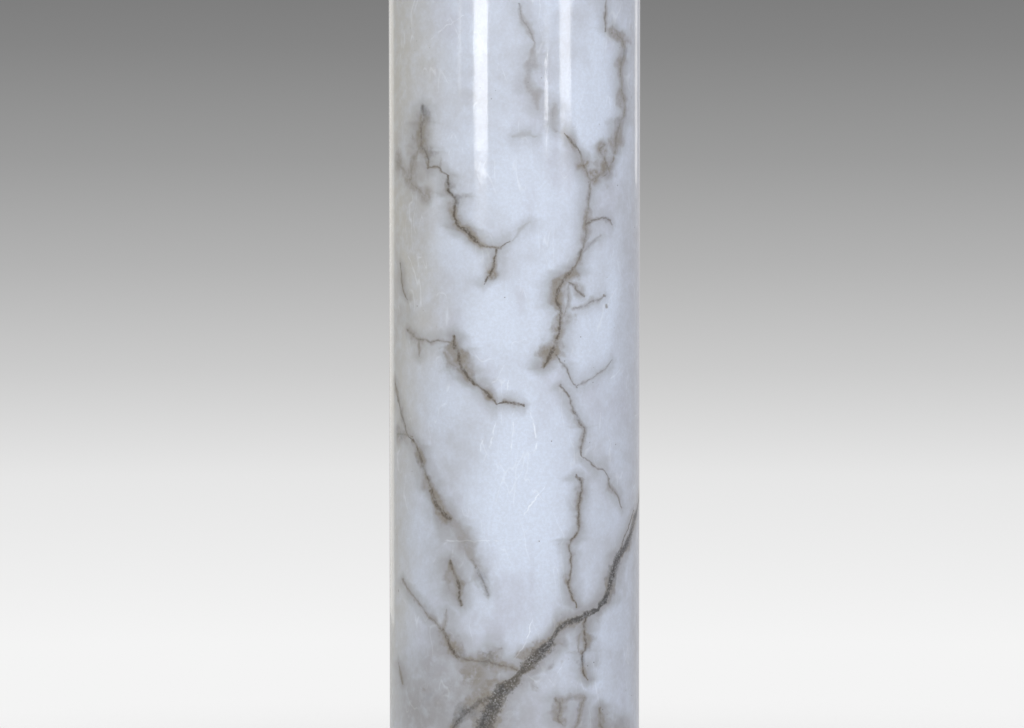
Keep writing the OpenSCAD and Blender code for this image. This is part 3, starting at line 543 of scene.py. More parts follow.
# Smears beside the veins, and painted shade: (degrees, mm, radius in mm, strength). The wide faint ones low on the
# shaft paint shade near its foot.
SMUDGES_AND_SHADE = [
    (39, 449, 8, 0.6), (-10, 364, 7, 1.0), (-22, 289, 5, 0.8), (-35, 182, 6, 0.7), (-45, 469, 9, 0.4),
    (57, 531, 10, 0.4), (-11, 66, 13, 0.9), (-19, 54, 17, 0.75), (-26, 117, 8, 0.35), (-45, 38, 4, 0.5),
    (27, 24, 16, 0.15), (-30, 40, 20, 0.3), (44, 348, 1.5, 1.0), (46, 339, 2, 0.8), (-59, 237, 8, 0.4),
    (32, 452, 10, 1.0), (38, 441, 9, 1.0), (46, 447, 10, 1.0), (43, 461, 8, 0.9), (-46, 464, 9, 0.9),
    (-66, 452, 10, 0.7), (-56, 440, 8, 0.7), (-44, 426, 10, 0.6), (23, 330, 8, 0.7), (30, 352, 7, 0.6),
    # The first four on this line are wide and faint: painted shade near the foot.
    (-45, 18, 42, 0.35), (-12, 18, 40, 0.30), (45, 6, 26, 0.35), (-38, 60, 22, 0.30), (-65, 238, 10, 0.8),
    (21, 33, 6, 0.8), (22, 16, 5, 0.7), (32, 30, 4, 0.6), (-44, 200, 7, 0.6), (-14, 42, 12, 0.7),
]
# Grey veils deeper in the stone: (degrees, mm, radius in mm, strength)
VEILS = [
    (-57, 238, 16, 0.9), (-45, 202, 13, 0.9), (-38, 182, 16, 0.7), (-28, 118, 15, 0.8), (-50, 446, 18, 0.6),
    (40, 448, 20, 0.7), (57, 520, 14, 0.6), (-14, 50, 20, 0.9), (-20, 26, 26, 0.7), (-42, 20, 30, 0.6),
    (20, 78, 12, 0.8), (50, 112, 14, 0.7), (20, 342, 11, 0.6), (-26, 290, 11, 0.6), (-9, 366, 9, 0.7),
    (61, 152, 12, 0.7), (28, 14, 22, 0.6), (56, 4, 20, 0.8), (-30, 74, 14, 0.8), (36, 62, 13, 0.7),
    (-29, 412, 10, 0.5), (33, 378, 10, 0.5), (-58, 330, 18, 0.4), (28, 122, 10, 0.5), (44, 346, 10, 0.4),
]
# Broad patches of tint: (tint, degrees, mm, half width in mm, half height in mm, strength). Most are clouds
# in the stone; the ash along the foot and the tall ash down the right side are painted shade, and the warm
# pair at -74 degrees makes the whole left side warmer.
SHAFT_TINTS_AND_SHADE = [
    ("warm", -74, 420, 82, 300, 1.0), ("warm", -74, 120, 50, 170, 0.7), ("warm", 168, 200, 70, 190, 0.8),
    ("ash_and_shade", -52, 440, 30, 70, 0.55), ("ash_and_shade", -50, 30, 44, 52, 0.8), ("ash_and_shade", 66, 2, 30, 26, 0.9),
    ("ash_and_shade", 76, 130, 22, 170, 0.6), ("milk", 2, 190, 54, 130, 1.0), ("milk", 20, 330, 60, 70, 0.8),
    ("milk", -8, 330, 32, 48, 0.8), ("milk", 34, 500, 24, 62, 0.7), ("milk", 46, 340, 24, 66, 0.9),
    ("milk", 42, 525, 22, 66, 0.8), ("milk", 3, 420, 44, 40, 0.7), ("milk", -120, 420, 60, 70, 0.8),
    # The one at 84 degrees is painted shade down the right side; those at -20 and 10 degrees are painted shade
    # along the foot.
    ("ash_and_shade", 84, 300, 50, 420, 0.5), ("ash_and_shade", -20, 28, 62, 50, 0.80), ("ash_and_shade", -30, 140, 26, 62, 0.7),
    ("ash_and_shade", 10, -14, 190, 62, 0.7), ("ash_and_shade", -74, 330, 40, 60, 0.5), ("ash_and_shade", 140, 480, 60, 60, 0.5),
]


def new_group(name, inputs, outputs):
    """A node group of float sockets: (tree, graph, input sockets by name, group output node)."""
    tree = bpy.data.node_groups.new(name, "ShaderNodeTree")
    for label in inputs:
        tree.interface.new_socket(label, in_out="INPUT", socket_type="NodeSocketFloat")
    for label in outputs:
        tree.interface.new_socket(label, in_out="OUTPUT", socket_type="NodeSocketFloat")
    graph = Graph(tree)
    return tree, graph, graph.node("NodeGroupInput").outputs, graph.node("NodeGroupOutput")


CURVE_STEP = 0.02     # how far ahead on a vein's curve its slope is measured


def vein_gap_group():
    """Node group: how far a point is from a vein, in half widths and in millimetres."""
    labels = ("Along", "Across", "Start", "End", "Here", "Ahead", "Low", "High", "Half Width")
    tree, graph, given, out = new_group("vein gap", labels, ("Widths", "Gap"))
    span = graph.sub(given["High"], given["Low"])
    length = graph.sub(given["End"], given["Start"])
    line = graph.mul_add(given["Here"], span, given["Low"])
    rise = graph.mul(graph.sub(given["Ahead"], given["Here"]), span)
    slope = graph.div(rise, graph.mul(length, CURVE_STEP))
    lean = graph.least(graph.root(graph.mul_add(slope, slope, 1.0)), 3.0)
    before = graph.sub(given["Start"], given["Along"])
    past = graph.sub(given["Along"], given["End"])
    outside = graph.most(before, past)
    lean = graph.mul_add(graph.sub(lean, 1.0), graph.ramp(outside, 0.0, -5.0), 1.0)
    apart = graph.apart(given["Across"], line)
    aside = graph.most(graph.div(apart, lean), graph.sub(apart, 5.0))
    gap = graph.add(aside, graph.mul(graph.most(outside, 0.0), 1.6))
    taper = graph.ramp(outside, 1.0, -9.0, 0.45, 1.0)
    graph.feed(out.inputs["Widths"], graph.div(gap, graph.mul(given["Half Width"], taper)))
    graph.feed(out.inputs["Gap"], gap)
    return tree


def vein_curve(graph, spot, points):
    """A curve node through the points, whose input and output both run from 0 to 1."""
    made = graph.node("ShaderNodeFloatCurve", {"Value": spot})
    curve = made.mapping.curves[0]
    while len(curve.points) < len(points):
        curve.points.new(0.5, 0.5)
    for slot, (x, y) in zip(curve.points, points):
        slot.location = (x, y)
    for slot in curve.points:
        slot.handle_type = "AUTO_CLAMPED"
    made.mapping.update()
    return made.outputs[0]


def vein_group(direction, half_width, path, mm_per_degree, gap_group, fades):
    """Node group that raises the masks fed to it wherever one vein runs.

    Each fade is (mask, measure, name of the input that scales the measure or None, value of the measure
    where the mask is 0, value where it is full, strength of the full mask).
    """
    scales = list(dict.fromkeys(fade[2] for fade in fades if fade[2]))
    masks = [fade[0] for fade in fades]
    tree, graph, given, out = new_group("vein", ["Around", "Up"] + scales + masks, masks)
    # Leaning on the mask so far, by next to nothing, makes the veins be worked out one after another.
    around = graph.mul_add(given[masks[0]], TINY, given["Around"])
    up = graph.mul_add(given[masks[0]], TINY, given["Up"])
    placed = [(turn * mm_per_degree, height) for turn, height in path]
    along, across = around, up
    if direction == UP:
        placed = [(height, turn) for turn, height in placed]
        along, across = up, around
    start, end = placed[0][0], placed[-1][0]
    low = min(p[1] for p in placed)
    high = max(max(p[1] for p in placed), low + 1)
    points = [((a - start) / (end - start), (b - low) / (high - low)) for a, b in placed]
    spot = graph.mul_add(along, 1 / (end - start), -start / (end - start))
    spot = graph.least(graph.most(spot, 0.0), 1 - CURVE_STEP)
    here = vein_curve(graph, spot, points)
    ahead = vein_curve(graph, graph.add(spot, CURVE_STEP), points)
    gap = graph.node("ShaderNodeGroup", node_tree=gap_group)
    graph.feed_all(gap, (along, across, start, end, here, ahead, low, high, half_width))
    for mask, measure, scale, empty, full, strength in fades:
        value = gap.outputs[measure]
        if scale:
            value = graph.mul(value, given[scale])
        fresh = graph.ramp(value, empty, full, 0.0, strength)
        graph.feed(out.inputs[mask], graph.most(given[mask], fresh))
    return tree


def patch_group():
    """Node group that raises a mask over one soft-edged oval patch."""
    labels = ("Around", "Up", "Middle", "Height", "Half Width", "Half Height", "Strength", "Turn", "Mask")
    tree, graph, given, out = new_group("patch", labels, ("Mask",))
    around = graph.mul_add(given["Mask"], TINY, given["Around"])
    gap = graph.sub(around, given["Middle"])
    gap = graph.math("WRAP", gap, given["Turn"], graph.mul(given["Turn"], -1.0))
    across = graph.div(gap, given["Half Width"])
    above = graph.div(graph.sub(given["Up"], given["Height"]), given["Half Height"])
    away = graph.root(graph.mul_add(across, across, graph.mul(above, above)))
    fresh = graph.ramp(away, 1.15, 0.30, 0.0, given["Strength"])
    graph.feed(out.inputs["Mask"], graph.most(given["Mask"], fresh))
    return tree


def shaft_masks(graph, position, radius, foot):
    """Vein masks for the shaft, from its own lists."""
    parts = graph.split(position)
    turn = graph.math("ARCTAN2", parts["X"], graph.mul(parts["Y"], -1.0))
    flat_around = graph.mul(turn, radius / MM)
    flat_up = graph.mul(graph.sub(parts["Z"], foot), 1 / MM)
    mm_per_degree = math.radians(radius / MM)

    drift = graph.vector("ADD", graph.wobble(position, 60, 2.2, 2), graph.wobble(position, 190, 1.8, 4))
    drift = graph.split(drift)
    grit = graph.noise_value(position, 330, 4, 0.7)
    swell = graph.noise_value(position, 55, 2, 0.5)
    lumps = graph.noise_value(position, 120, 3, 0.6)
    sources = {
        "Around": graph.add(flat_around, drift["X"]),
        "Up": graph.add(flat_up, drift["Z"]),
        "Stain Scale": graph.mul(
            graph.ramp(swell, 0.34, 0.66, 1.5, 0.45), graph.ramp(lumps, 0.3, 0.7, 1.4, 0.7)
        ),
        "Core Scale": graph.mul(
            graph.ramp(swell, 0.35, 0.65, 1.5, 0.8), graph.ramp(grit, 0.3, 0.7, 1.4, 0.75)
        ),
        "Dark Scale": graph.ramp(grit, 0.3, 0.7, 1.5, 0.75),
    }
    gap_group = vein_gap_group()
    masks = {}

    def add_vein(direction, half_width, path, fades):
        tree = vein_group(direction, half_width, path, mm_per_degree, gap_group, fades)
        made = graph.node("ShaderNodeGroup", node_tree=tree)
        for socket in made.inputs:
            graph.feed(socket, sources[socket.name] if socket.name in sources else masks.get(socket.name, 0.0))
        for fade in fades:
            masks[fade[0]] = made.outputs[fade[0]]

    for direction, half_width, crisp, strength, path in SHAFT_VEINS:
        fades = [
            ("Stain", "Widths", "Stain Scale", 2.7, 0.2, strength),
            ("Halo", "Gap", None, 9 + 4 * half_width, 0.0, strength),
        ]
        if crisp > 0:
            wide = half_width * crisp
            fades.append(("Core", "Gap", "Core Scale", 0.9 + 0.55 * wide, 0.2 + 0.2 * wide, crisp))
        add_vein(direction, half_width, path, fades)
    for direction, half_width, strength, path in DARK_BANDS:
        add_vein(direction, half_width, path, [
            ("Dark", "Widths", "Dark Scale", 1.75, 0.70, strength),
            ("ash_and_shade", "Gap", None, 20 + 2 * half_width, 2.0, 0.8 * strength),
            ("Halo", "Gap", None, 13 + 2 * half_width, 0.0, strength),
            ("Stain", "Widths", "Stain Scale", 2.6, 0.9, 0.8 * strength),
        ])
    for direction, half_width, strength, path in THREADS:
        add_vein(direction, half_width, path, [("Thread", "Widths", None, 1.3, 0.3, strength)])

    patches = patch_group()

    def add_patch(mask, degrees, height, half_width, half_height, strength, from_around, from_up):
        made = graph.node("ShaderNodeGroup", node_tree=patches)
        given = (
            from_around, from_up, degrees * mm_per_degree, height, half_width, half_height, strength,
            180 * mm_per_degree, masks.get(mask, 0.0),
        )
        graph.feed_all(made, given)
        masks[mask] = made.outputs[0]

    for mask, spots in (("Smudge And Shade", SMUDGES_AND_SHADE), ("Veil", VEILS)):
        for degrees, height, size, strength in spots:
            add_patch(mask, degrees, height, size, size, strength, sources["Around"], sources["Up"])
    drift = graph.split(graph.wobble(position, 12, 34, 3))
    tint_around = graph.add(flat_around, drift["X"])
    tint_up = graph.add(flat_up, drift["Z"])
    for tint, degrees, height, half_width, half_height, strength in SHAFT_TINTS_AND_SHADE:
        add_patch(tint, degrees, height, half_width, half_height, strength, tint_around, tint_up)

    # Smears beside the veins, with the painted shade near the foot among them.
    smudge_and_shade = graph.mul(masks["Smudge And Shade"], graph.ramp(lumps, 0.32, 0.56, 0.40, 1.0))
    veil = graph.mul(masks["Veil"], graph.ramp(swell, 0.30, 0.60, 0.35, 0.9))
    fray = graph.ramp(graph.mul_add(grit, 0.4, graph.mul(lumps, 0.6)), 0.36, 0.56, 0.60, 1.0)
    return {
        "core": graph.mul(masks["Core"], graph.ramp(lumps, 0.36, 0.54, 0.40, 1.0)),
        "stain": graph.mul(graph.most(masks["Stain"], smudge_and_shade), fray),
        "halo": graph.most(graph.most(masks["Halo"], smudge_and_shade), veil),
        "dark": masks["Dark"],
        "thread": graph.mul(masks["Thread"], graph.ramp(lumps, 0.35, 0.6)),
        "warm": masks["warm"], "milk": masks["milk"], "ash_and_shade": masks["ash_and_shade"],
    }


def shaft_material(radius, foot):
    material, graph, shader, position = new_material("alabaster shaft")
    alabaster_surface(graph, shader, position, shaft_masks(graph, position, radius, foot))
    return material


# ---------------------------------------------------------------------------------------------
# Metal, lead, rubber and felt
# ---------------------------------------------------------------------------------------------


def metal_material(name, bright, tone, dull, rough, spin=False):
    """Metal with cloudy toning, dull blotches and hairline scratches. spin adds lathe rings about the axis."""
    material, graph, shader, position = new_material(name)
    cloudy = graph.noise_value(position, 14, 4, 0.6)
    blotch = graph.noise_value(graph.vector("ADD", position, graph.wobble(position, 40, 0.01)), 60, 4, 0.65)
    colour = graph.mix(graph.ramp(cloudy, 0.35, 0.68), bright, tone)
    colour = graph.mix(graph.ramp(blotch, 0.60, 0.80, 0.0, 0.55), colour, dull)
    scratch = graph.drawn_noise(position, (260, 260, 2400), 3, 0.7)
    height = graph.mul(scratch, 0.25)
    if spin:
        x, y, _ = graph.split(position)
        out = graph.root(graph.add(graph.math("POWER", x, 2), graph.math("POWER", y, 2)))
        ring = graph.node("ShaderNodeCombineXYZ", {0: graph.mul(out, 1400)}).outputs[0]
        height = graph.add(height, graph.noise_value(ring, 1.0, 3, 0.7))
    roughness = graph.add(rough, graph.ramp(blotch, 0.35, 0.8, -0.05, 0.22))
    roughness = graph.add(roughness, graph.mul(scratch, 0.06))
    set_inputs(
        graph, shader, Base_Color=colour, Metallic=1.0, Roughness=roughness,
        Normal=graph.bump(height, 0.03 * MM, 0.5),
    )
    return material


def dull_material(name, colour_a, colour_b, rough, scale, metallic=0.0, sheen=0.0, depth=0.1 * MM):
    """Lead, rubber or felt: two close colours, mottled at one scale, with a matching relief."""
    material, graph, shader, position = new_material(name)
    mottle = graph.noise_value(position, scale, 5, 0.7)
    fine = graph.noise_value(position, scale * 9, 3, 0.7)
    colour = graph.mix(graph.ramp(mottle, 0.3, 0.7), colour_a, colour_b)
    height = graph.add(mottle, graph.mul(fine, 0.5))
    set_inputs(
        graph, shader, Base_Color=colour, Metallic=metallic, Sheen_Weight=sheen,
        Roughness=graph.ramp(fine, 0.2, 0.8, rough - 0.08, rough + 0.08), Normal=graph.bump(height, depth, 0.6),
    )
    return material


BRASS = metal_material("brass", (0.71, 0.58, 0.37, 1), (0.60, 0.46, 0.27, 1), (0.36, 0.27, 0.16, 1), 0.26)
SPUN_BRASS = metal_material(
    "spun brass", (0.70, 0.57, 0.36, 1), (0.61, 0.48, 0.29, 1), (0.40, 0.30, 0.18, 1), 0.27, True
)
COPPER = metal_material("copper", (0.72, 0.46, 0.35, 1), (0.56, 0.35, 0.26, 1), (0.29, 0.19, 0.14, 1), 0.34, True)
BRONZE = metal_material("bronze", (0.46, 0.33, 0.19, 1), (0.36, 0.25, 0.14, 1), (0.20, 0.14, 0.09, 1), 0.38)
LEAD = dull_material("lead", (0.17, 0.18, 0.20, 1), (0.26, 0.27, 0.29, 1), 0.55, 70, metallic=0.7)
RUBBER = dull_material("rubber", (0.018, 0.018, 0.018, 1), (0.032, 0.031, 0.030, 1), 0.62, 220)
FELT = dull_material("felt", (0.10, 0.012, 0.016, 1), (0.17, 0.024, 0.028, 1), 0.95, 500, sheen=0.6, depth=0.4 * MM)

# ---------------------------------------------------------------------------------------------
# Stones
# ---------------------------------------------------------------------------------------------

CORE = 25 * MM               # bore through the stem for the drain pipe
FLARE = 11 * MM              # sweep at each end of the shaft
SHAFT_BAND = 8 * MM          # flat band beyond each sweep
BAND = 4 * MM                # flat bands of the turned base
MOUTH_R = 195 * MM           # the basin's mouth, its hollow's radius, and the flat well round its drain
HOLLOW_R = 124 * MM
WELL_R = 34 * MM
WELL_DROP = 2 * MM           # how far the well lies below the hollow's floor


def finish_piece(piece, body, material, node):
    """Gives a new piece its material and its body, and hides the CAD node that it stands for."""
    piece.data.materials.append(material)
    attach(piece, body)
    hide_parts(node)


def finish_stone(piece, node, turn, shift, planes=()):
    """Finishes one block. Its own turn and shift keep its veins from running on into the next."""
    material, graph, shader, position = new_material("alabaster " + node)
    alabaster_surface(graph, shader, position, field_masks(graph, position, turn, shift, planes))
    finish_piece(piece, FONT, material, node)


def make_slab(node, hole, chips, turn, shift, planes=()):
    """An octagonal plinth slab with eased, slightly chipped arrises and a chamfered top edge."""
    low, high, apothem, chamfer = low_z(node), high_z(node), radius_of(node), 7 * MM
    outline = [(hole, low), (apothem, low), (apothem, high - chamfer), (apothem - chamfer, high), (hole, high)]
    ring = octagon_ring(1.5 * MM, 24)
    sound, deepest = 0.42, 1.6 * MM

    def build(bm):
        sweep(bm, soften(outline, 1.2 * MM), lambda r: ring(r if r > hole * 1.01 else hole))
        for v in bm.verts:
            wear = noise.noise(v.co * 55 + Vector((chips, 0, 0))) + 0.5 * noise.noise(v.co * 160)
            out = Vector((v.co.x, v.co.y, 0))
            if out.length > apothem * 0.97 and high - v.co.z < chamfer * 1.6 and wear > sound:
                v.co -= out.normalized() * min(deepest, (wear - sound) * 6 * MM)

    finish_stone(mesh_object(node + "_stone", build), node, turn, shift, planes)


def torus_outline(out, low, radius, steps=14):
    """Half-round moulding from its foot to its head, whose outermost point is at radius out."""
    return arc((out - radius, low + radius), radius, -90, 90, steps)


def make_base():
    node = "base_moulding"
    low, high, out = low_z(node), high_z(node), radius_of(node)
    torus_low, torus_high, scotia = 15 * MM, 10 * MM, 17 * MM
    foot = out - torus_low - 2 * MM
    head = radius_of("shaft") + 4 * MM
    z_foot, z_head = low + 2 * torus_low + BAND, high - 2 * torus_high - BAND
    outline = [(CORE, low)]
    outline += torus_outline(out, low, torus_low)
    outline += [(foot + 3 * MM, low + 2 * torus_low), (foot + 3 * MM, z_foot)]
    outline += arc_between((foot, z_foot), (head, z_head), scotia)
    outline += [(head + 1 * MM, z_head), (head + 1 * MM, z_head + BAND)]
    outline += torus_outline(radius_of("shaft") + 7 * MM, z_head + BAND, torus_high)
    outline += [(CORE, high)]
    piece = turned("base_stone", outline)
    finish_stone(piece, node, (0.9, 1.7, 0.4), (2.2, 3.1, 5.6), [((-0.75, 0.3, 0.6), 0.12, 3.5 * MM)])


def make_shaft():
    node = "shaft"
    low, high, out = low_z(node), high_z(node), radius_of(node)
    sweep_h = SHAFT_BAND + FLARE
    outline = [(CORE, low), (out, low), (out, low + SHAFT_BAND)]
    outline += arc((out, low + sweep_h), FLARE, 270, 180)
    outline += arc((out, high - sweep_h), FLARE, 180, 90)
    outline += [(out, high - SHAFT_BAND), (out, high), (CORE, high)]
    piece = turned("shaft_stone", outline, steps=240)
    finish_piece(piece, FONT, shaft_material(out - FLARE, low + sweep_h), node)


def make_capital():
    node = "capital"
    low, high = low_z(node), high_z(node)
    shaft_out = radius_of("shaft")
    astragal, lip_h, echinus = 6 * MM, 6 * MM, 30 * MM
    neck = (shaft_out - 5 * MM, low + 2 * astragal + BAND)
    lip = (radius_of(node) - 3 * MM, high - lip_h)
    outline = [(CORE, low)]
    outline += torus_outline(shaft_out + 5 * MM, low, astragal)
    outline += [(neck[0], low + 2 * astragal), neck]
    outline += arc_between(neck, lip, echinus, -1)
    outline += [(lip[0] + 3 * MM, lip[1]), (lip[0] + 3 * MM, high), (CORE, high)]
    finish_stone(turned("capital_stone", outline), node, (0.2, 0.8, 2.4), (7.2, 0.4, 3.6))


def basin_outline(rim, inset):
    """The basin's hollow from its flat centre out to its mouth, inset from the stone."""
    centre = (MOUTH_R - HOLLOW_R, rim)
    return [(WELL_R, rim - HOLLOW_R - WELL_DROP + inset)] + arc(centre, HOLLOW_R - inset, -90, 0, 32)


def make_bowl():
    node = "bowl"
    low, rim, out = low_z(node), high_z(node), radius_of(node)
    foot_h, foot_r, torus, rim_band, neck_h = 8 * MM, 128 * MM, 16 * MM, 8 * MM, 4 * MM
    belly_top = rim - rim_band - 2 * torus - neck_h
    belly = belly_top - low - foot_h
    rebate, rebate_h, waste_hole, nut_r, nut_h = (v * MM for v in (212, 2, 21, 42, 22))
    centre = (out - 12 * MM - belly, belly_top)
    meet = math.degrees(math.asin(max(-1.0, -math.sqrt(max(0.0, 1 - ((foot_r - centre[0]) / belly) ** 2)))))
    outline = [(nut_r, low), (foot_r, low)]
    outline += arc(centre, belly, meet, 0, 32)
    outline += [(out - torus, belly_top), (out - torus, belly_top + neck_h)]
    outline += torus_outline(out, belly_top + neck_h, torus, 18)
    outline += [(out - 4 * MM, rim - rim_band), (out - 4 * MM, rim)]
    outline += [(rebate, rim), (rebate, rim - rebate_h), (MOUTH_R, rim - rebate_h)]
    basin = [p for p in reversed(basin_outline(rim, 0)) if p[1] < rim - rebate_h]
    outline += basin
    outline += [(waste_hole, basin[-1][1]), (waste_hole, low + nut_h), (nut_r, low + nut_h)]
    piece = turned("bowl_stone", outline, 1.2 * MM, 240)
    finish_stone(piece, node, (2.1, 0.4, 0.9), (0.3, 5.5, 8.1), [((0.62, -0.2, 0.75), 0.70, 4.0 * MM)])


make_slab(
    "plinth_lower", 45 * MM, 3.0, (0.5, 0.3, 1.1), (4.2, 1.3, 2.2), [((0.6, 0.35, 0.72), 0.105, 4.5 * MM)]
)
make_slab("plinth_upper", CORE, 9.0, (1.4, 0.2, 0.5), (1.2, 7.3, 0.2))
make_base()
make_shaft()
make_capital()
make_bowl()

# ---------------------------------------------------------------------------------------------
# Metalwork
# ---------------------------------------------------------------------------------------------

RIM = high_z("bowl")
CROWN = RIM + 100.5 * MM     # top of the dome
DOME_R = 327.1 * MM          # radius of the dome's sphere
DOME_T = 2 * MM
SKIRT_R = 212 * MM
FLANGE_R = radius_of("cover_flange")
FLANGE_TOP = high_z("cover_flange")
SKIRT_TOP = RIM + 22.5 * MM
STUD_R = 4 * MM
LEAF = 3 * MM                # thickness of the hinge's leaves
SCREW_DEPTH = 26 * MM        # reach of the rim's screws below their seats


def dome_height(r, inset=0.0):
    return CROWN - DOME_R + math.sqrt((DOME_R - inset) ** 2 - r * r)


def on_dome(r, lift=0.0):
    """Matrix that puts +Z along the dome's normal, at distance r in front of the axis."""
    place = shifted(0, -r, dome_height(r))
    return place @ rotated(math.asin(r / DOME_R), "X") @ shifted(0, 0, lift)


def along_x(x, y, z):
    return shifted(x, y, z) @ rotated(math.pi / 2, "Y")


def ring_outline(inner, outer, low, high):
    return [(inner, low), (outer, low), (outer, high), (inner, high)]


def mm_outline(*points, base=0.0):
    """An outline whose points are in millimetres, above a height in metres."""
    return [(r * MM, base + z * MM) for r, z in points]


def wire_ring(bm, radius, wire, place, steps=FINE_STEPS):
    outline = arc((radius, 0), wire / 2, 0, 360, 20)[:-1]
    sweep(bm, outline, circle_ring(steps), True, place)


def shrink(outline, by):
    """The outline with every side moved in by that much. It runs anticlockwise."""
    made = []
    for i, point in enumerate(outline):
        here, before, after = Vector(point), Vector(outline[i - 1]), Vector(outline[(i + 1) % len(outline)])
        first, second = (here - before).normalized(), (after - here).normalized()
        a, b = Vector((-first.y, first.x)), Vector((-second.y, second.x))
        made.append(here + (a + b) * by / max(0.3, 1 + a.dot(b)))
    return made


def plate(bm, outline, low, high, edge=0.5 * MM, place=None):
    """Adds a flat part cut to the outline, with rounded arrises."""
    corner = [(edge * (1 - math.sin(i * math.pi / 6)), edge * (1 - math.cos(i * math.pi / 6))) for i in range(4)]
    levels = [(by, low + up) for by, up in corner] + [(by, high - up) for by, up in reversed(corner)]
    rows = [[bm.verts.new((*p, z)) for p in shrink(outline, by)] for by, z in levels]
    count = len(outline)
    for lower, upper in zip(rows, rows[1:]):
        for i in range(count):
            j = (i + 1) % count
            bm.faces.new((lower[i], lower[j], upper[j], upper[i]))
    bm.faces.new(rows[0][::-1])
    bm.faces.new(rows[-1])
    put(bm, rows, place)


def oblong(x0, x1, y0, y1):
    return [(x0, y0), (x1, y0), (x1, y1), (x0, y1)]


def round_headed(bm, radius, height, place):
    """Adds a rivet's domed head, from its seat at z = 0."""
    ball = (radius * radius + height * height) / (2 * height)
    spread = math.degrees(math.asin(radius / ball))
    lathe(bm, [(0, 0)] + arc((0, height - ball), ball, 90 - spread, 90, 10), place, steps=32)


def slotted_head(bm, radius, low, high, place, slot=0.7 * MM, depth=1.1 * MM):
    """Adds a screw's head with a slot across it, along X."""
    lathe(bm, [(0, low), (radius, low), (radius, high - depth), (0, high - depth)], place, 0.05 * MM)
    turn = math.degrees(math.asin(slot / radius))
    for half in (0, 180):
        plate(bm, arc((0, 0), radius, half + turn, half + 180 - turn, 32), high - depth, high, 0.2 * MM, place)


def metal_piece(node, material, body, build):
    """A finer stand-in for one CAD node."""
    finish_piece(mesh_object(node + "_fine", build), body, material, node)


def turned_piece(node, material, body, outline, edge, steps, place=None):
    """A finer stand-in that is one turned part."""
    metal_piece(node, material, body, lambda bm: lathe(bm, outline, place, edge, steps))


def make_cover():
    bead, collar, collar_at, hole = 3 * MM, 1.8 * MM, 74 * MM, STUD_R + 0.2 * MM
    outer = [collar_at + (SKIRT_R - 1 * MM - bead - collar_at) * i / 36 for i in range(1, 37)]
    outline = [(hole, dome_height(hole, DOME_T)), (hole, dome_height(hole))]
    outline += [(r, dome_height(r)) for r in (20 * MM, 38 * MM, 56 * MM, collar_at - 2.4 * MM)]
    outline += arc((collar_at, dome_height(collar_at)), collar, 165, -10, 12)
    outline += [(r, dome_height(r)) for r in outer]
    outline += arc((SKIRT_R - 1 * MM, SKIRT_TOP), bead, 125, -70, 18)
    outline += [(SKIRT_R, SKIRT_TOP - bead), (SKIRT_R, FLANGE_TOP), (SKIRT_R - DOME_T, FLANGE_TOP)]
    outline += [(SKIRT_R - DOME_T, SKIRT_TOP - 1 * MM)]
    outline += [(r * 7 * MM, dome_height(r * 7 * MM, DOME_T)) for r in range(29, 1, -1)]
    turned_piece("cover_dome", SPUN_BRASS, COVER, outline, 0.4 * MM, 240)

    band_r = radius_of("cover_band")
    flange = ring_outline(band_r - 3 * MM, FLANGE_R, low_z("cover_flange"), FLANGE_TOP)
    turned_piece("cover_flange", BRASS, COVER, flange, 0.9 * MM, 240)
    hoop = ring_outline(band_r - 3 * MM, band_r, FLANGE_TOP, high_z("cover_band"))
    turned_piece("cover_band", BRASS, COVER, hoop, 0.7 * MM, 240)
    felt = ring_outline(SKIRT_R + 1 * MM, FLANGE_R - 0.5 * MM, RIM, RIM + 1.5 * MM)
    turned_piece("cover_felt", FELT, COVER, felt, 0.5 * MM, 240)

    def rivets(bm):
        count, rivet_z = 16, RIM + 12 * MM
        for i in range(count):
            turn = rotated((i + 0.5) * 2 * math.pi / count, "Z")
            round_headed(bm, 3 * MM, 1.6 * MM, turn @ along_x(SKIRT_R + 0.1 * MM, 0, rivet_z))
            inside = turn @ along_x(band_r - 3.9 * MM, 0, rivet_z)
            lathe(bm, mm_outline((0, 0), (2.4, 0), (2.4, 0.8), (0, 0.8)), inside, steps=24)

    metal_piece("cover_rivets", BRASS, COVER, rivets)


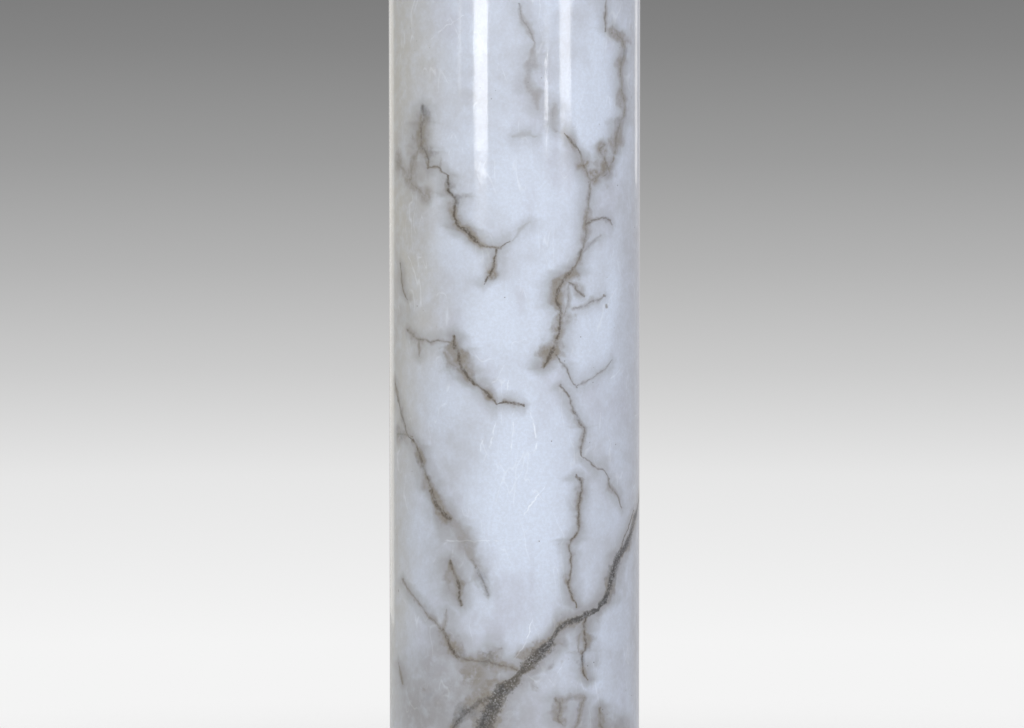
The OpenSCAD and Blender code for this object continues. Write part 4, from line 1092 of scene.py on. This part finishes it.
def make_finial():
    foot_r, sweep_r, base_top, hole = 30 * MM, 16 * MM, CROWN + 17 * MM, STUD_R + 0.1 * MM
    start, neck = (foot_r - 4 * MM, CROWN + 4 * MM), (13 * MM, CROWN + 13 * MM)
    outline = [(hole, CROWN - 0.5 * MM), (foot_r, dome_height(foot_r) + 0.1 * MM)]
    outline += arc((foot_r - 2.4 * MM, CROWN + 1.6 * MM), 2.4 * MM, -20, 90, 8)
    outline += [start] + arc_between(start, neck, sweep_r, 1, 14)
    outline += arc((neck[0] + 1 * MM, (neck[1] + base_top) / 2), 2 * MM, -90, 90, 10)
    outline += [(hole, base_top)]
    turned_piece("finial_base", BRASS, COVER, outline, 0.5 * MM, 96)

    ball, centre, cross_z = 18 * MM, CROWN + 32 * MM, low_z("finial_cross")
    seat = math.degrees(math.asin((base_top - centre) / ball))
    shape = [(hole, base_top + 0.1 * MM)] + arc((0, centre), ball, seat + 1, 66, 26)
    shape += arc((7 * MM, cross_z - 2 * MM), 1.9 * MM, -70, 90, 10)
    shape += [(hole, cross_z - 0.1 * MM)]
    turned_piece("finial_ball", BRASS, COVER, shape, 0.4 * MM, 96)

    def cross(bm):
        tall, thick, bar, bud = high_z("finial_cross") - cross_z, 9 * MM, 6 * MM, 8 * MM
        arm_z, arm = tall * 0.62, tall * 0.28
        meet = math.degrees(math.asin(bar / bud))
        outline = [(-bar, 6 * MM), (bar, 6 * MM), (bar, arm_z - bar)]
        outline += arc((arm, arm_z), bud, meet - 180, 180 - meet, 30) + [(bar, arm_z + bar)]
        outline += arc((0, tall - bud), bud, meet - 90, 270 - meet, 30) + [(-bar, arm_z + bar)]
        outline += arc((-arm, arm_z), bud, meet, 360 - meet, 30) + [(-bar, arm_z - bar)]
        upright = shifted(0, 0, cross_z) @ rotated(math.pi / 2, "X")
        plate(bm, outline, -thick / 2, thick / 2, 1.6 * MM, upright)
        socket = mm_outline((0, 0), (9, 0), (9, 2.5), (7.6, 4), (7.6, 9), (6.2, 12), (0, 12))
        lathe(bm, socket, shifted(0, 0, cross_z), 0.5 * MM)
        for y in (1, -1):
            face = shifted(0, 0, cross_z + arm_z) @ rotated(y * math.pi / 2, "X")
            boss = mm_outline((0, 0), (9, 0), (9, 5.5), (7.4, 6.5), (6.4, 5.6), (4, 6.3), (0, 6.5))
            lathe(bm, boss, face, 0.4 * MM)
            for x, z in ((arm, 0), (-arm, 0), (0, tall - bud - arm_z)):
                round_headed(bm, 4.2 * MM, 1.6 * MM, face @ shifted(x, y * z, thick / 2 - 0.1 * MM))

    metal_piece("finial_cross", BRASS, COVER, cross)


def make_lift_ring():
    eye_h, eye_r, wire, ring_r, ring_wire = (v * MM for v in (10, 6.5, 5, 20, 5.6))
    at, droop = 140 * MM, math.radians(12)
    leaning = on_dome(at, eye_h) @ rotated(droop, "X") @ shifted(0, -ring_r, 0)
    metal_piece("lift_ring", BRASS, RING, lambda bm: wire_ring(bm, ring_r, ring_wire, leaning, 96))

    def eye(bm):
        foot = mm_outline((0, 0.1), (8, 0.1), (8, 1.2), (6.6, 2.1), (4.4, 2.4), (3.6, 3.4), (3.6, 5), (0, 5))
        lathe(bm, foot, on_dome(at))
        wire_ring(bm, eye_r, wire, on_dome(at, eye_h) @ rotated(math.pi / 2, "Y"))
        lathe(bm, mm_outline((0, -9), (2.5, -9), (2.5, 1), (0, 1)), on_dome(at))

    metal_piece("ring_eye", BRASS, COVER, eye)


def rim_slice(inner, outer, half):
    """Outline of a slice of flat ring across the back of the rim, its corners rounded."""
    far, near = math.degrees(math.asin(half / outer)), math.degrees(math.asin(half / inner))
    outline = arc((0, 0), outer, 90 - far, 90 + far, 24) + arc((0, 0), inner, 90 + near, 90 - near, 24)
    return soften(outline, 2.5 * MM)


def make_hinge():
    y, z = FLANGE_R + 7 * MM, RIM + 9.5 * MM
    knuckle, pin, half, inner, moving = (v * MM for v in (6, 2.5, 36, 13, 12.5))

    def tube(bm, x0, x1):
        lathe(bm, ring_outline(pin + 0.15 * MM, knuckle, 0, x1 - x0), along_x(x0, y, z), 0.6 * MM, 48)

    def bracket(bm):
        plate(bm, rim_slice(FLANGE_R + 2 * MM, radius_of("bowl") - 5 * MM, 56 * MM), RIM, RIM + LEAF, 0.6 * MM)
        for x0 in (-half, inner):
            tube(bm, x0, x0 + half - inner)
            block = oblong(x0 + 0.2 * MM, x0 + half - inner - 0.2 * MM, y - 5.2 * MM, y + 5.2 * MM)
            plate(bm, block, RIM + 1 * MM, z - pin - 0.5 * MM, 0.4 * MM)

    metal_piece("hinge_bracket", BRASS, FONT, bracket)

    def strap(bm):
        low, high = FLANGE_TOP, FLANGE_TOP + LEAF
        plate(bm, rim_slice(SKIRT_R + 0.4 * MM, FLANGE_R - 0.2 * MM, 30 * MM), low, high)
        plate(bm, oblong(-moving, moving, SKIRT_R + 3 * MM, y - pin - 0.5 * MM), low, high, 0.4 * MM)
        tube(bm, -moving, moving)

    metal_piece("hinge_strap", BRASS, COVER, strap)

    def hinge_pin(bm):
        long = half + 0.5 * MM
        lathe(bm, [(0, 0), (pin, 0), (pin, 2 * long), (0, 2 * long)], along_x(-long, y, z))
        for turn, x in ((0, long), (math.pi, -long)):
            place = shifted(x, y, z) @ rotated(turn, "Z") @ rotated(math.pi / 2, "Y")
            lathe(bm, [(0, 0), (4.5 * MM, 0)] + arc((3 * MM, 1.5 * MM), 1.5 * MM, 0, 90, 6) + [(0, 3 * MM)], place)

    metal_piece("hinge_pin", BRASS, FONT, hinge_pin)

    def screws(bm):
        at = (FLANGE_R + radius_of("bowl") - 3 * MM) / 2
        for side in (-1, 1):
            place = rotated(side * math.radians(11.5), "Z") @ shifted(0, at, RIM + LEAF)
            place = place @ rotated(0.5 + side, "Z")
            slotted_head(bm, 4.6 * MM, -2.4 * MM, 0.25 * MM, place)
            shank = [(0, -SCREW_DEPTH), (2.5 * MM, -SCREW_DEPTH), (2.5 * MM, -2 * MM), (0, -2 * MM)]
            lathe(bm, shank, place)

    metal_piece("bracket_screws", BRASS, FONT, screws)

    def rivets(bm):
        for turn in (-6, 0, 6):
            seat = shifted(0, (SKIRT_R + FLANGE_R) / 2, FLANGE_TOP + LEAF + 0.1 * MM)
            round_headed(bm, 3 * MM, 1.6 * MM, rotated(math.radians(turn), "Z") @ seat)

    metal_piece("strap_rivets", BRASS, COVER, rivets)


def make_button():
    y, low, thick = -(FLANGE_R + 12 * MM), FLANGE_TOP + 0.5 * MM, 4 * MM
    place, top = shifted(0, y, 0), low + thick

    def button(bm):
        hub, width, reach, tab, tab_w, tab_at = (v * MM for v in (9, 6, 13, 6, 4, 14))
        a, b = math.degrees(math.asin(width / hub)), math.degrees(math.asin(tab_w / hub))
        c = math.degrees(math.asin(tab_w / tab))
        outline = arc((reach, 0), width, -90, 90, 20) + arc((0, 0), hub, a, 180 - b, 20)
        outline += arc((-tab_at, 0), tab, c, 360 - c, 24) + arc((0, 0), hub, 180 + b, 360 - a, 20)
        plate(bm, outline, low, top, 0.8 * MM, place)
        grip = mm_outline((0, -1), (2.6, -1), (2.6, 0.8), base=top)
        grip += arc((2.9 * MM, top + 1.9 * MM), 1.1 * MM, -60, 90, 8) + [(0, top + 3 * MM)]
        lathe(bm, grip, shifted(-tab_at, y, 0), 0.3 * MM, 40)

    metal_piece("turn_button", BRASS, BUTTON, button)

    def post(bm):
        foot, seat = RIM - SCREW_DEPTH, top + 0.1 * MM
        shank = [(0, foot), (3 * MM, foot), (3 * MM, RIM), (4 * MM, RIM), (4 * MM, seat), (0, seat)]
        lathe(bm, shank, place)
        slotted_head(bm, 7 * MM, seat, seat + 3 * MM, place @ rotated(0.6, "Z"), 0.9 * MM)

    metal_piece("button_post", BRASS, FONT, post)
    spacer = ring_outline(4.1 * MM, 8 * MM, RIM + 0.1 * MM, low - 0.1 * MM)
    turned_piece("button_spacer", BRASS, FONT, spacer, 0.4 * MM, FINE_STEPS, place)


def make_basin():
    gap, thick, lip, tail = 0.5 * MM, 1.5 * MM, 2.0 * MM, 20.5 * MM
    lip_r, well = SKIRT_R - gap, RIM - HOLLOW_R - WELL_DROP + gap
    lower = [(tail, well)] + [p for p in basin_outline(RIM, gap) if p[1] < RIM - thick]
    upper = [p for p in basin_outline(RIM, gap + thick) if p[1] < RIM]
    turn_over = arc((upper[-1][0] + lip, RIM - lip), lip, 170, 92, 6)
    outline = lower + [(lower[-1][0], RIM - thick), (lip_r, RIM - thick), (lip_r, RIM)]
    outline += turn_over[::-1] + upper[::-1][1:] + [(tail, well + thick)]
    turned_piece("liner", COPPER, FONT, outline, 0.4 * MM, 240)

    tail_low = low_z("waste_body")
    body = [(14.1 * MM, tail_low), (19 * MM, tail_low)]
    body += mm_outline(
        (19, -3), (32, -3), (32, -1.6), (30, 0), (18.1, 0), (14.1, -4), base=high_z("waste_body")
    )
    turned_piece("waste_body", BRASS, FONT, body, 0.5 * MM, 128)

    plug = mm_outline(
        (0, -13), (12.7, -13), (13.5, -12), (13.5, 0), (22, 0), (22, 1.4), (20.5, 3), (9, 3), (6.5, 4.5),
        (4.2, 6.5), (3.5, 9), (3.5, 25), (0, 25), base=low_z("plug_seal") + 1 * MM,
    )
    turned_piece("drain_plug", BRASS, PLUG, plug, 0.4 * MM, 96)

    low, ball = low_z("plug_knob"), 11 * MM
    knob = [(0, low), (5 * MM, low)] + arc((0, high_z("plug_knob") - ball), ball, -62, 90, 26)
    turned_piece("plug_knob", BRASS, PLUG, knob, 0.4 * MM, 96)


make_cover()
make_finial()
make_lift_ring()
make_hinge()
make_button()
make_basin()

# ---------------------------------------------------------------------------------------------
# Carried-over CAD nodes
# ---------------------------------------------------------------------------------------------

CARRIED = {
    LEAD: "plinth_bed base_bed shaft_foot_bed shaft_head_bed bowl_bed screw_plugs",
    BRONZE: "plinth_dowels base_dowels shaft_foot_dowels shaft_head_dowels bowl_dowels",
    COPPER: "drain_pipe",
    RUBBER: "waste_washer plug_seal",
    BRASS: "waste_grid waste_backnut drain_ferrule finial_stud finial_washer finial_nut ring_eye_nut",
}

for node_material, node_names in CARRIED.items():
    for node_name in node_names.split():
        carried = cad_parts[node_name]
        carried.data.materials.clear()
        carried.data.materials.append(node_material)

# ---------------------------------------------------------------------------------------------
# Studio: floor, backdrop, lights and camera
# ---------------------------------------------------------------------------------------------

PLAIN_FOOT = low_z("shaft") + SHAFT_BAND + FLARE
PLAIN_HEAD = high_z("shaft") - SHAFT_BAND - FLARE
VIEW_Z = (PLAIN_FOOT + PLAIN_HEAD) / 2
VIEW_TILT = 2.5              # degrees that the camera looks down
VIEW_DISTANCE = 3.0
PAPER = 0.905                # linear brightness of the backdrop's foot
LIGHT_DISTANCE = 2.6


def make_floor():
    """A pale disc that fades out towards its edge."""
    radius = 1.6
    outline = [(0, 0), (radius * 0.5, 0), (radius, 0)]
    floor = mesh_object("floor", lambda bm: sweep(bm, outline, circle_ring(96), False))
    material, graph, shader, position = new_material("floor")
    length = graph.node("ShaderNodeVectorMath", {0: position}, operation="LENGTH").outputs[1]
    grain = graph.noise_value(position, 30, 3)
    glow = graph.mul(graph.node("ShaderNodeLightPath").outputs["Is Camera Ray"], 0.22)
    set_inputs(
        graph, shader, Base_Color=graph.mix(grain, (0.76, 0.76, 0.75, 1), (0.78, 0.78, 0.77, 1)), Roughness=0.7,
        Emission_Color=(1, 1, 1, 1), Emission_Strength=glow,
    )
    clear = graph.node("ShaderNodeBsdfTransparent").outputs[0]
    surface = graph.mix_shaders(graph.ramp(length, radius * 0.35, radius * 0.98), shader.outputs[0], clear)
    graph.feed(material.node_tree.nodes["Material Output"].inputs["Surface"], surface)
    floor.data.materials.append(material)
    floor.location.z = low_z("plinth_lower") - 0.2 * MM


def make_world():
    """A grey backdrop that pales downwards for the camera, and a soft room for everything else."""
    world = bpy.data.worlds.new("studio")
    bpy.context.scene.world = world
    world.use_nodes = True
    world.node_tree.nodes.clear()
    graph = Graph(world.node_tree)
    x, _, z = graph.split(graph.node("ShaderNodeTexCoord").outputs["Generated"])
    ramp = graph.node("ShaderNodeValToRGB", {0: graph.ramp(z, -0.145, 0.055, smooth=False)})
    stops = ramp.color_ramp.elements
    shades = [
        (0.0, PAPER), (0.14, PAPER), (0.36, 0.79), (0.50, 0.60), (0.64, 0.45), (0.78, 0.33), (0.93, 0.235),
        (1.0, 0.205),
    ]
    while len(stops) < len(shades):
        stops.new(0.5)
    for stop, (place, shade) in zip(stops, shades):
        stop.position = place
        stop.color = (shade, shade, shade, 1)
    room = graph.mix(graph.ramp(x, -0.8, 0.8), (0.57, 0.56, 0.53, 1), (0.61, 0.61, 0.64, 1))
    room = graph.mix(graph.ramp(z, -0.1, 0.9), room, (0.50, 0.50, 0.52, 1))
    fill, backdrop = (
        graph.node("ShaderNodeBackground", {"Color": colour, "Strength": 1.0}).outputs[0]
        for colour in (room, ramp.outputs[0])
    )
    seen = graph.node("ShaderNodeLightPath").outputs["Is Camera Ray"]
    graph.node("ShaderNodeOutputWorld", {0: graph.mix_shaders(seen, fill, backdrop)})


def strip_light(name, turn, width, low, high, radiance, colour=(1.0, 1.0, 1.0)):
    """A tall soft light facing the axis. turn is the degrees round from the front, towards +X."""
    a = math.radians(turn)
    data = bpy.data.lights.new(name, "AREA")
    data.shape = "RECTANGLE"
    data.size, data.size_y = width, high - low
    data.energy = radiance * math.pi * width * (high - low)
    data.color = colour
    lamp = bpy.data.objects.new(name, data)
    bpy.context.scene.collection.objects.link(lamp)
    lamp.location = (math.sin(a) * LIGHT_DISTANCE, -math.cos(a) * LIGHT_DISTANCE, (low + high) / 2)
    facing = Vector((-math.sin(a), math.cos(a), 0))
    lamp.rotation_mode = "QUATERNION"
    lamp.rotation_quaternion = facing.to_track_quat("-Z", "Y")
    lamp.visible_camera = False


def mirrored_z(up_shaft):
    """Height at the lights of a ray from the camera that the shaft mirrors that far up its plain part."""
    tilt, height = math.radians(VIEW_TILT), PLAIN_FOOT + up_shaft
    eye = VIEW_Z + VIEW_DISTANCE * math.sin(tilt)
    away = VIEW_DISTANCE * math.cos(tilt) - radius_of("shaft")
    return height + (height - eye) / away * LIGHT_DISTANCE


def make_lights():
    warm = (1.0, 0.97, 0.90)
    foot = mirrored_z(0.450)
    strip_light("front_soft", 3.0, 2.2, 1.35, 2.75, 4.6)
    strip_light("window_left", -29.6, 0.58, foot - 0.09, 1.5, 6.0)
    strip_light("window_right", 46.5, 0.46, foot - 0.03, 1.5, 4.6)
    strip_light("slot_middle", 28.5, 0.11, mirrored_z(0.43), foot + 0.01, 9.0)
    strip_light("window_tail", 44.0, 0.14, mirrored_z(0.42), foot - 0.03, 2.2)
    strip_light("slot_left", -50.0, 0.10, foot, 1.5, 1.6)
    strip_light("rim_right", 148.0, 0.36, foot - 0.05, 2.3, 0.75, warm)
    strip_light("rim_left", -154.0, 0.90, 0.0, 2.3, 0.42, warm)


def make_camera():
    data = bpy.data.cameras.new("camera")
    camera = bpy.data.objects.new("camera", data)
    bpy.context.scene.collection.objects.link(camera)
    aspect = 1024 / 728          # of the photo, whose height the shaft's plain part fills
    data.sensor_width = 36
    data.lens = data.sensor_width * VIEW_DISTANCE / ((PLAIN_HEAD - PLAIN_FOOT) * aspect)
    tilt = math.radians(VIEW_TILT)
    back = Vector((0, -math.cos(tilt), math.sin(tilt)))
    camera.location = Vector((0, 0, VIEW_Z)) + back * VIEW_DISTANCE
    camera.rotation_mode = "QUATERNION"
    camera.rotation_quaternion = (-back).to_track_quat("-Z", "Y")
    data.clip_start, data.clip_end = 0.05, 60
    data.shift_x = -0.0024      # the photographed shaft stands a little right of centre
    bpy.context.scene.camera = camera


make_floor()
make_world()
make_lights()
make_camera()
bpy.context.scene.view_settings.view_transform = "Standard"

bpy.context.view_layer.update()
